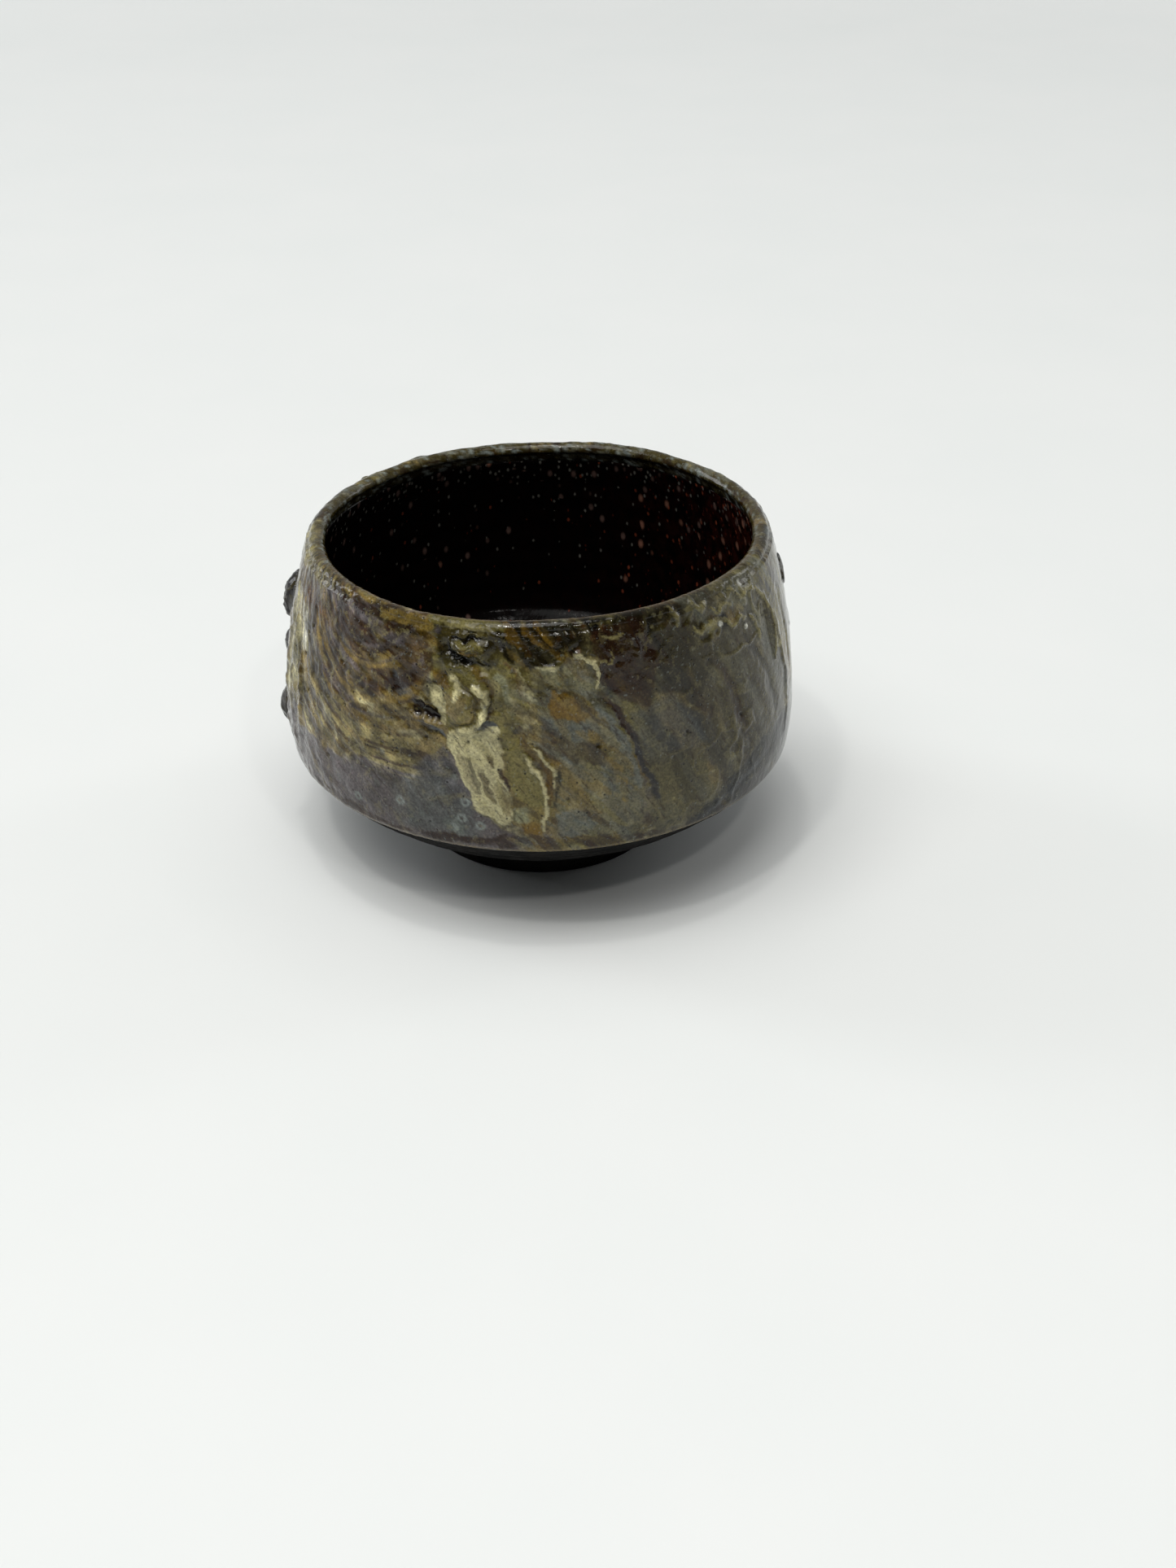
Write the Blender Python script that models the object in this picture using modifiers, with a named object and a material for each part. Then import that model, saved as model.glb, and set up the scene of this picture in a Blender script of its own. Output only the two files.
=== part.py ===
"""Matcha bowl (chawan), glazed stoneware. Blender 4.5: blender --background --python part.py

A thrown clay body with a foot ring luted under it, a wood-ash glaze outside and over the lip,
a dark iron glaze in the well, and the daubs of clay and slip that the potter laid on the wall.
Metres, +Z up. The table is z = 0 and the wheel's axis is Z. Bearings are in degrees round the
bowl, 0 at the front (-Y) and positive towards +X.
"""

import math

import bpy
from mathutils import Matrix, Vector

MM = 0.001

# Driving dimensions, all of the glazed bowl.
HEIGHT = 76 * MM
LIP_RADIUS = 52.4 * MM
BELLY_RADIUS = 59.2 * MM
BELLY_HEIGHT = 33 * MM
EDGE_RADIUS = 58.3 * MM  # the trimmed edge under the belly
EDGE_HEIGHT = 24.6 * MM
FOOT_RADIUS = 28 * MM
FOOT_HEIGHT = 7 * MM
FLOOR_HEIGHT = 13.6 * MM  # the well's floor, round the tea pool
LIP_THICKNESS = 3.8 * MM
BELLY_THICKNESS = 5.6 * MM
GLAZE = 0.8 * MM  # thickness of either glaze coat
GAP = 0.3 * MM  # left between neighbouring solids

# Details that follow from how it was made.
WALL_SWELL = 1.9  # power of the wall's curve from the belly in to the lip
LIP_TURN = 6 * MM  # how far the outer glaze runs down inside the lip
UNDERSIDE_BULGE = 1.6 * MM
POOL_RADIUS = 17 * MM
POOL_DEPTH = 0.9 * MM
FOOT_SPLAY = 2 * MM  # the foot ring is this much wider where it meets the body
FOOT_SHOULDER = 0.5 * MM  # how far the flat it is luted to runs on past it
FOOT_WIDTH = 5.6 * MM
FOOT_CHAMFER = 0.8 * MM
LIP_SLOPE = (0.018, -0.016)  # the lip's rise along X and along Y, none at the belly's edge

TURN_STEPS = 60
WALL_POINTS = 6
WELL_POINTS = 8
LIP_POINTS = 5
EDGE_POINTS = 4
UNDERSIDE_POINTS = 5
DAUB_SEGMENTS, DAUB_RINGS = 16, 8
DAUB_SINK = 1.0 * MM  # a daub's centre lies this far under the glazed surface
WINDOW_EASE = 0.45 * MM  # the glaze's window is this much larger than its daub

# name: bearing in degrees, height, length, width, how far it stands proud (mm), and the lean of
# its length from upright in degrees, positive towards +X at the top.
DAUBS = {
    "rim_lump": (-17.5, 71.0, 8.5, 5.2, 1.5, 80),
    "shell_boss": (-15.5, 59.5, 13.0, 10.5, 1.7, -35),
    "slip_stroke": (-11.5, 41.5, 22.0, 9.0, 0.8, -28),
    "hook_ridge": (11.0, 66.0, 9.0, 2.4, 0.9, 20),
    "right_ridge": (65.5, 60.5, 17.0, 3.0, 1.0, -8),
    "right_nub": (92.0, 64.5, 7.0, 3.6, 1.2, 0),
    "left_fin": (-89.0, 31.5, 9.5, 4.6, 1.5, 10),
    "left_lump_low": (-98.0, 43.5, 6.0, 4.6, 2.2, -10),
    "left_lump_high": (-101.0, 54.5, 12.0, 7.0, 4.3, 8),
    "rim_nub_left": (-129.0, 72.2, 6.5, 3.6, 1.1, 85),
    "rim_nub_back": (-146.0, 72.8, 7.5, 3.8, 1.2, 88),
}


def wall_radius(z):
    """Radius of the glazed wall at height z, from the belly's edge up to the lip."""
    if z >= BELLY_HEIGHT:
        rise = (z - BELLY_HEIGHT) / (HEIGHT - BELLY_HEIGHT)
        return BELLY_RADIUS - (BELLY_RADIUS - LIP_RADIUS) * rise**WALL_SWELL
    drop = (BELLY_HEIGHT - z) / (BELLY_HEIGHT - EDGE_HEIGHT)
    return BELLY_RADIUS - (BELLY_RADIUS - EDGE_RADIUS) * drop**2


def well_radius(z):
    """Radius of the glazed inside at height z above the belly."""
    share = (z - BELLY_HEIGHT) / (HEIGHT - BELLY_HEIGHT)
    return wall_radius(z) - BELLY_THICKNESS - (LIP_THICKNESS - BELLY_THICKNESS) * share


def steps(start, end, count):
    """count evenly spaced values, both ends included."""
    return [start + (end - start) * i / (count - 1) for i in range(count)]


def well_section():
    """The glazed inside from the axis out and up to the lip, as (radius, height)."""
    brim = well_radius(BELLY_HEIGHT)
    depth = BELLY_HEIGHT - FLOOR_HEIGHT
    points = []
    for angle in steps(0, math.pi / 2, WELL_POINTS):
        radius = brim * math.sin(angle)
        pool = POOL_DEPTH * max(0.0, 1 - (radius / POOL_RADIUS) ** 2)
        points.append((radius, BELLY_HEIGHT - depth * math.cos(angle) - pool))
    top = HEIGHT - LIP_THICKNESS / 2
    heights = steps(BELLY_HEIGHT, top, WALL_POINTS)[1:-1] + [HEIGHT - LIP_TURN]
    return points + [(well_radius(z), z) for z in sorted(heights)]


def outside_section():
    """The glazed outside from the top of the inner wall, over the lip and down to the belly's edge."""
    half = LIP_THICKNESS / 2
    centre = (LIP_RADIUS - half, HEIGHT - half)
    lip = [
        (centre[0] - half * math.cos(angle), centre[1] + half * math.sin(angle))
        for angle in steps(0, math.pi, LIP_POINTS)
    ]
    wall = [(wall_radius(z), z) for z in steps(centre[1], BELLY_HEIGHT, WALL_POINTS)[1:]]
    turn = [(wall_radius(z), z) for z in steps(BELLY_HEIGHT, EDGE_HEIGHT, EDGE_POINTS)[1:]]
    return lip + wall + turn


def inwards(path, distance):
    """path moved into the clay, which lies on the right of its direction of travel."""
    moved = []
    for i, (radius, height) in enumerate(path):
        before = path[max(i - 1, 0)]
        after = path[min(i + 1, len(path) - 1)]
        along = Vector((after[0] - before[0], after[1] - before[1])).normalized()
        if radius == 0:
            along = Vector((1, 0))
        moved.append((radius + along.y * distance, height - along.x * distance))
    return moved


def material(name, colour, roughness):
    """A Principled material in one colour."""
    made = bpy.data.materials.new(name)
    made.use_nodes = True
    shader = made.node_tree.nodes["Principled BSDF"]
    shader.inputs["Base Color"].default_value = (*colour, 1)
    shader.inputs["Roughness"].default_value = roughness
    shader.inputs["Metallic"].default_value = 0
    return made


def turned(name, section, collection, closed):
    """A solid turned on Z from a section that runs down its outer side."""
    mesh = bpy.data.meshes.new(name)
    edges = [(i, i + 1) for i in range(len(section) - 1)]
    if closed:
        edges.append((len(section) - 1, 0))
    mesh.from_pydata([(r, 0, z) for r, z in section], edges, [])
    made = bpy.data.objects.new(name, mesh)
    collection.objects.link(made)
    screw = made.modifiers.new("turn", "SCREW")
    screw.steps = screw.render_steps = TURN_STEPS
    screw.use_merge_vertices = True
    screw.merge_threshold = 1e-5
    return made


def daub_matrix(bearing, height, lean):
    """Places a daub's X along its length, Y across it and Z out of the wall."""
    around = math.radians(bearing)
    step = 1 * MM
    slope = (wall_radius(height + step) - wall_radius(height - step)) / (2 * step)
    out = Vector((math.sin(around), -math.cos(around), 0))
    side = Vector((math.cos(around), math.sin(around), 0))
    up = (out * slope + Vector((0, 0, 1))).normalized()
    normal = side.cross(up).normalized()
    tilt = math.radians(lean)
    along = up * math.cos(tilt) + side * math.sin(tilt)
    across = normal.cross(along)
    centre = out * wall_radius(height) + Vector((0, 0, height)) - normal * DAUB_SINK
    turn = Matrix((along, across, normal)).transposed().to_4x4()
    return Matrix.Translation(centre) @ turn


def blob(name, spec, grow, collection):
    """An ellipsoid for a daub, larger by grow on every side."""
    bearing, height, length, width, proud, lean = spec
    half = [length / 2 * MM + grow, width / 2 * MM + grow, proud * MM + DAUB_SINK + grow]
    bpy.ops.mesh.primitive_uv_sphere_add(segments=DAUB_SEGMENTS, ring_count=DAUB_RINGS, radius=1)
    made = bpy.context.object
    made.name = name
    made.data.name = name
    made.data.transform(daub_matrix(bearing, height * MM, lean) @ Matrix.Diagonal((*half, 1)))
    for other in list(made.users_collection):
        other.objects.unlink(made)
    collection.objects.link(made)
    return made


def cut(target, cutter):
    """Takes cutter away from target."""
    boolean = target.modifiers.new(cutter.name, "BOOLEAN")
    boolean.operation = "DIFFERENCE"
    boolean.solver = "EXACT"
    boolean.object = cutter


def settled(made, paint):
    """Applies the modifiers, then lets the lip rise and fall as it does on the thrown bowl."""
    graph = bpy.context.evaluated_depsgraph_get()
    mesh = bpy.data.meshes.new_from_object(made.evaluated_get(graph))
    made.modifiers.clear()
    made.data = mesh
    for vertex in mesh.vertices:
        share = (vertex.co.z - EDGE_HEIGHT) / (HEIGHT - EDGE_HEIGHT)
        share = min(max(share, 0.0), 1.0)
        rise = vertex.co.x * LIP_SLOPE[0] + vertex.co.y * LIP_SLOPE[1]
        vertex.co.z += rise * share * share * (3 - 2 * share)
    mesh.materials.clear()
    mesh.materials.append(paint)
    mesh.shade_smooth()
    mesh.set_sharp_from_angle(angle=math.radians(40))


def clay_section():
    """The fired clay: the well, the lip and the wall under their glazes, and the bare underside."""
    glazed = inwards(well_section()[:-1] + outside_section(), GLAZE + GAP)
    edge = glazed[-1]
    foot = (FOOT_RADIUS + FOOT_SPLAY + FOOT_SHOULDER, FOOT_HEIGHT + GAP)
    under = []
    for share in steps(0, 1, UNDERSIDE_POINTS)[1:]:
        bulge = UNDERSIDE_BULGE * math.sin(math.pi * share)
        radius = edge[0] + (foot[0] - edge[0]) * share + bulge / 2
        under.append((radius, edge[1] + (foot[1] - edge[1]) * share - bulge))
    return glazed + under + [(0, foot[1])]


def outer_glaze_section():
    """The ash glaze: down the outside from its end inside the lip, and back up against the clay."""
    inside_end = [(well_radius(HEIGHT - LIP_TURN), HEIGHT - LIP_TURN)]
    visible = inside_end + outside_section()
    return visible + inwards(visible, GLAZE)[::-1]


def inner_glaze_section():
    """The iron glaze: out from the axis and up to the ash glaze, and back down against the clay."""
    visible = well_section()
    radius, height = visible[-1]
    visible[-1] = (radius, height - GAP)
    return visible + inwards(visible, GLAZE)[::-1]


def foot_section():
    """The foot ring: outer side, flat resting face, inner side."""
    inside = FOOT_RADIUS - FOOT_WIDTH
    return [
        (FOOT_RADIUS + FOOT_SPLAY, FOOT_HEIGHT),
        (FOOT_RADIUS + 0.2 * FOOT_SPLAY, FOOT_CHAMFER),
        (FOOT_RADIUS - 0.5 * FOOT_CHAMFER, 0),
        (inside + 0.5 * FOOT_CHAMFER, 0),
        (inside, FOOT_CHAMFER),
        (inside - 0.5 * FOOT_SPLAY, FOOT_HEIGHT),
    ]


def clay_core_section():
    """Everything inside the clay's outer face and one gap more, which no daub may enter."""
    face = inwards(outside_section(), GLAZE)[LIP_POINTS // 2 :]
    return [(0, face[0][1]), *face, (0, face[-1][1])]


def main():
    for old in list(bpy.data.objects):
        bpy.data.objects.remove(old)
    bowl = bpy.data.collections.new("matcha_bowl")
    cutters = bpy.data.collections.new("cutters")
    for collection in (bowl, cutters):
        bpy.context.scene.collection.children.link(collection)

    stoneware = material("stoneware", (0.075, 0.052, 0.042), 0.85)
    ash_glaze = material("ash_glaze", (0.22, 0.20, 0.14), 0.22)
    iron_glaze = material("iron_glaze", (0.012, 0.006, 0.005), 0.15)
    slip = material("slip", (0.42, 0.38, 0.25), 0.25)

    clay_body = turned("clay_body", clay_section(), bowl, closed=False)
    foot_ring = turned("foot_ring", foot_section(), bowl, closed=True)
    outer_glaze = turned("outer_glaze", outer_glaze_section(), bowl, closed=True)
    inner_glaze = turned("inner_glaze", inner_glaze_section(), bowl, closed=False)
    clay_core = turned("clay_core", clay_core_section(), cutters, closed=False)

    daubs = []
    for name, spec in DAUBS.items():
        daub = blob(name, spec, 0, bowl)
        cut(daub, clay_core)
        daubs.append(daub)
        cut(outer_glaze, blob("window_" + name, spec, WINDOW_EASE, cutters))
    for cutter in cutters.objects:
        cutter.hide_render = True
        cutter.display_type = "WIRE"

    settled(clay_body, stoneware)
    settled(foot_ring, stoneware)
    settled(inner_glaze, iron_glaze)
    settled(outer_glaze, ash_glaze)
    for daub in daubs:
        settled(daub, slip)


main()
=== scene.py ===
"""Looks of the matcha bowl: thrown body, two glaze coats, and the daubs under the ash glaze.

Inside this file sizes are in millimetres and bearings in degrees round the bowl, 0 at the front
(-Y) and positive towards +X. One degree is close to one millimetre of wall, so a pair (bearing,
height) also serves as a flat map of the wall, on which the glaze is painted and its relief drawn.
"""

import math

import bpy
import numpy as np
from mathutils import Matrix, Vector


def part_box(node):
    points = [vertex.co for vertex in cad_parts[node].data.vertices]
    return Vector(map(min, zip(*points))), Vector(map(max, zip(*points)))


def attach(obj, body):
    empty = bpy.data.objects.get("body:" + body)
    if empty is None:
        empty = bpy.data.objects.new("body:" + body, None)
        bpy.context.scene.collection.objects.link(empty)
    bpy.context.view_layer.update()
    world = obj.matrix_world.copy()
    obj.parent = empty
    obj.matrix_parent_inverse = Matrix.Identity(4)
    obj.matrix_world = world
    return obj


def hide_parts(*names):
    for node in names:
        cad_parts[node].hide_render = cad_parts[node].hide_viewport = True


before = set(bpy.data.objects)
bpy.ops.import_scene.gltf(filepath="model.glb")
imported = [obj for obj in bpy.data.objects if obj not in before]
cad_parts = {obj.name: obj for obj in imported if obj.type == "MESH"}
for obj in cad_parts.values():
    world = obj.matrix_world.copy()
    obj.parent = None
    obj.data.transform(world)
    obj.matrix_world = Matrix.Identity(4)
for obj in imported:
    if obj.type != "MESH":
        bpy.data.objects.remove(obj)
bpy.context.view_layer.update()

METRE = 0.001  # one millimetre in metres


def frame_box(node):
    """Lowest and highest corner of a CAD node in millimetres."""
    low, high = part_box(node)
    return np.array(low) / METRE, np.array(high) / METRE


# The bowl's shape, from the frame.
COAT_LOW, COAT_HIGH = frame_box("outer_glaze")
FOOT_HIGH = frame_box("foot_ring")[1]
WELL_LOW = frame_box("inner_glaze")[0]
LIP_SLOPE = (0.018, -0.016)  # the lip's rise along X and Y
LIP_RADIUS = 52.4
HEIGHT = COAT_HIGH[2] - LIP_RADIUS * math.hypot(*LIP_SLOPE)
BELLY_RADIUS = COAT_HIGH[0]
BELLY_HEIGHT = 33.0
EDGE_RADIUS = 58.3
EDGE_HEIGHT = COAT_LOW[2]
EDGE_CORNER = 0.75
WALL_SWELL = 1.9  # how late the wall turns in: the power of its curve above the belly
LIP_THICKNESS = 3.8
BELLY_THICKNESS = 5.6
LIP_TURN = 6.0  # the ash glaze runs this far down inside the lip
POOL_RADIUS, POOL_DEPTH = 17.0, 0.9  # the tea pool, a shallow dip in the middle of the well
COAT = 0.8
FLOOR_HEIGHT = WELL_LOW[2] + POOL_DEPTH + COAT
CLAY_DEPTH = 1.1  # the clay's face lies this far under the glaze's
TUCK = 0.5  # the ash glaze's inside end sinks this far behind the iron glaze
OVERLAP = 1.6  # and the iron glaze runs this far up past it
DEEPEST = 0.72  # no groove goes deeper than this, so that none cuts through the coat
FOOT_HEIGHT = FOOT_HIGH[2]
FOOT_TOP_RADIUS = FOOT_HIGH[0]
FOOT_RADIUS = FOOT_TOP_RADIUS - 2.0
FOOT_WIDTH = 5.6

# How finely the meshes are cut.
FRONT_COLUMNS, BACK_COLUMNS = 380, 170
FRONT_BEARING = 84.0
WALL_ROWS, LIP_ROWS, TURN_ROWS = 128, 16, 9
PLAIN_COLUMNS = 288


# ---------------------------------------------------------------- colours

PALETTE = {
    "mauve": (0x50, 0x44, 0x38),
    "lilac": (0x62, 0x5C, 0x60),
    "umber": (0x38, 0x2A, 0x19),
    "rust": (0x5C, 0x42, 0x22),
    "tan": (0x80, 0x72, 0x50),
    "cream": (0xC2, 0xBB, 0x92),
    "straw": (0x92, 0x8A, 0x62),
    "olive": (0x74, 0x6D, 0x48),
    "moss": (0x4A, 0x44, 0x2A),
    "dark_olive": (0x2B, 0x24, 0x10),
    "amber": (0x5E, 0x4C, 0x26),
    "ochre": (0x74, 0x5D, 0x2F),
    "gold": (0x82, 0x6F, 0x42),
    "slate": (0x60, 0x5B, 0x5D),
    "deep_slate": (0x3A, 0x3A, 0x3E),
    "blue_grey": (0x68, 0x6D, 0x69),
    "sky": (0x88, 0x90, 0x8C),
    "cloud": (0x50, 0x53, 0x57),
    "celadon": (0x86, 0x88, 0x6E),
    "grey": (0x66, 0x65, 0x58),
    "stone": (0x58, 0x54, 0x47),
    "night": (0x1A, 0x22, 0x28),
    "black": (0x0C, 0x07, 0x04),
    "plum": (0x20, 0x16, 0x17),
    "white": (0xD0, 0xD0, 0xC4),
    "lip": (0x60, 0x48, 0x2C),
}
PAINT_GAIN = 0.87  # fits the painted wall to the brightness of its light
VEIL = np.array([0.017, 0.018, 0.023])  # what the wall's gloss adds to every colour
DARKEST_SHARE = 0.36  # a dark colour keeps at least this share of itself, and so its hue


def linear(colour):
    """An 8-bit display colour as linear light."""
    share = np.array(colour) / 255
    return np.where(share <= 0.04045, share / 12.92, ((share + 0.055) / 1.055) ** 2.4)


def pigment(name):
    """The glaze's own colour, of a palette colour as it looks on the lit wall."""
    seen = linear(PALETTE[name])
    return np.maximum(seen - VEIL, DARKEST_SHARE * seen) * PAINT_GAIN


# ---------------------------------------------------------------- noise and drawing

LATTICE = 24


def value_noise(points, size, seed):
    """Smooth noise from 0 to 1 at points (n, 3), with features about size millimetres across."""
    table = np.random.default_rng(seed).random((LATTICE,) * 3)
    scaled = np.asarray(points) / size + seed * 0.37
    cell = np.floor(scaled).astype(int)
    part = scaled - cell
    part = part * part * (3 - 2 * part)
    total = np.zeros(len(scaled))
    for corner in np.ndindex(2, 2, 2):
        weight = np.prod(np.where(corner, part, 1 - part), axis=1)
        where = (cell + corner) % LATTICE
        total += weight * table[where[:, 0], where[:, 1], where[:, 2]]
    return total


def cloud_noise(points, size, seed, octaves=3):
    """Value noise with finer and fainter copies of itself added, about 0.5 on average."""
    total, weight = 0, 0
    for octave in range(octaves):
        share = 0.5**octave
        total = total + share * value_noise(points, size * share, seed + octave)
        weight += share
    return total / weight


def ramp(values, start, end):
    """0 before start, 1 after end, and smooth between."""
    share = np.clip((values - start) / (end - start), 0, 1)
    return share * share * (3 - 2 * share)


def line_distance(x, y, route):
    """Distance from each (x, y) to a route of points, and how far along it, 0 to 1, the nearest is."""
    nearest = np.full(len(x), np.inf)
    along = np.zeros(len(x))
    last = len(route) - 1
    for i in range(last):
        (ax, ay), (bx, by) = route[i], route[i + 1]
        dx, dy = bx - ax, by - ay
        share = np.clip(((x - ax) * dx + (y - ay) * dy) / (dx * dx + dy * dy), 0, 1)
        distance = np.hypot(x - ax - share * dx, y - ay - share * dy)
        closer = distance < nearest
        nearest[closer] = distance[closer]
        along[closer] = (i + share[closer]) / last
    return nearest, along


def area_distance(x, y, outline):
    """Distance from each (x, y) to an outline, negative inside it."""
    inside = np.zeros(len(x), bool)
    for (ax, ay), (bx, by) in zip(outline, outline[1:] + outline[:1]):
        if ay != by:
            crossing = (bx - ax) * (y - ay) / (by - ay) + ax
            inside ^= ((ay > y) != (by > y)) & (x < crossing)
    distance, _ = line_distance(x, y, outline + outline[:1])
    return np.where(inside, -distance, distance)


def smooth_route(points, steps=5):
    """A Catmull-Rom curve through points."""
    ends = [points[0], *points, points[-1]]
    route = []
    for before, a, b, after in zip(ends, ends[1:], ends[2:], ends[3:]):
        before, a, b, after = (np.array(p, float) for p in (before, a, b, after))
        for t in np.linspace(0, 1, steps, endpoint=False):
            curve = 2 * a + (b - before) * t + (2 * before - 5 * a + 4 * b - after) * t * t
            curve = curve + (3 * a - before - 3 * b + after) * t**3
            route.append(tuple(curve / 2))
    return route + [points[-1]]


def area(colour, opacity, soft, *outline):
    """A patch of glaze: soft is how many millimetres its edge takes to fade."""
    return {"kind": "area", "colour": colour, "opacity": opacity, "soft": soft, "at": list(outline)}


def line(colour, opacity, width, *route):
    """A brushed or run streak of that half width, which thins out towards its ends."""
    return {"kind": "line", "colour": colour, "opacity": opacity, "soft": width, "at": list(route)}


def dot(colour, opacity, radius, *centres):
    """Round spots of one colour."""
    return {"kind": "dot", "colour": colour, "opacity": opacity, "soft": radius, "at": list(centres)}


def ring(colour, opacity, radius, *centres):
    """Small burst bubbles: a pale ring round a dark middle."""
    return {"kind": "ring", "colour": colour, "opacity": opacity, "soft": radius, "at": list(centres)}


def cover(layer, x, y):
    """How much of each point a layer covers, 0 to 1."""
    soft = layer["soft"]
    if layer["kind"] == "area":
        return ramp(-area_distance(x, y, layer["at"]), -soft / 4, soft / 4)
    if layer["kind"] == "line":
        distance, along = line_distance(x, y, smooth_route(layer["at"]))
        width = soft * (0.35 + 0.65 * np.sin(np.pi * np.clip(along, 0.04, 0.96)) ** 0.5)
        return 1 - ramp(distance / width, 0.7, 1.1)
    total = np.zeros(len(x))
    for cx, cy in layer["at"]:
        distance = np.hypot(x - cx, y - cy) / soft
        if layer["kind"] == "ring":
            total = np.maximum(total, 1 - np.abs(distance - 0.75) / 0.4)
        else:
            total = np.maximum(total, 1 - ramp(distance, 0.6, 1.1))
    return np.clip(total, 0, 1)


PINHOLES = [
    (-66, 61.3), (-63.8, 63.6), (-66.5, 56), (-63.5, 48.3), (-71.8, 62), (-47.8, 51.3), (-29.5, 51.8),
    (-34.4, 49), (-31.8, 45.6), (-53.6, 36.4), (-36, 46.4), (-45, 66.4), (-50, 60.5), (-15.4, 50.8),
    (-25, 50.4), (-6, 66), (-11, 57.8), (5.6, 38), (12.2, 49.8), (17.6, 66.8), (33, 48.4), (49.4, 46.6),
]

# Streaks, burst bubbles and chips. They are painted early, and again over the glaze that drifted across.
DARK_STREAK = [(13.9, 59.6), (16.8, 56.2), (19.6, 51), (20.4, 49.4)]
SLATE_STREAK = [(19.8, 50.6), (22.1, 44.6), (24, 38), (24.6, 35)]
PALE_STREAK = [(11.8, 58), (15, 54), (17.8, 49.6), (20.2, 43), (21, 39)]
BUBBLES = [(-31.5, 33.5), (-16.1, 36.7), (-12.9, 31.2), (-16.9, 32.6), (-43.5, 30.2)]
PALE_CHIPS = [(54.2, 64.8), (45.5, 68.2), (55.6, 74.2)]

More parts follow.
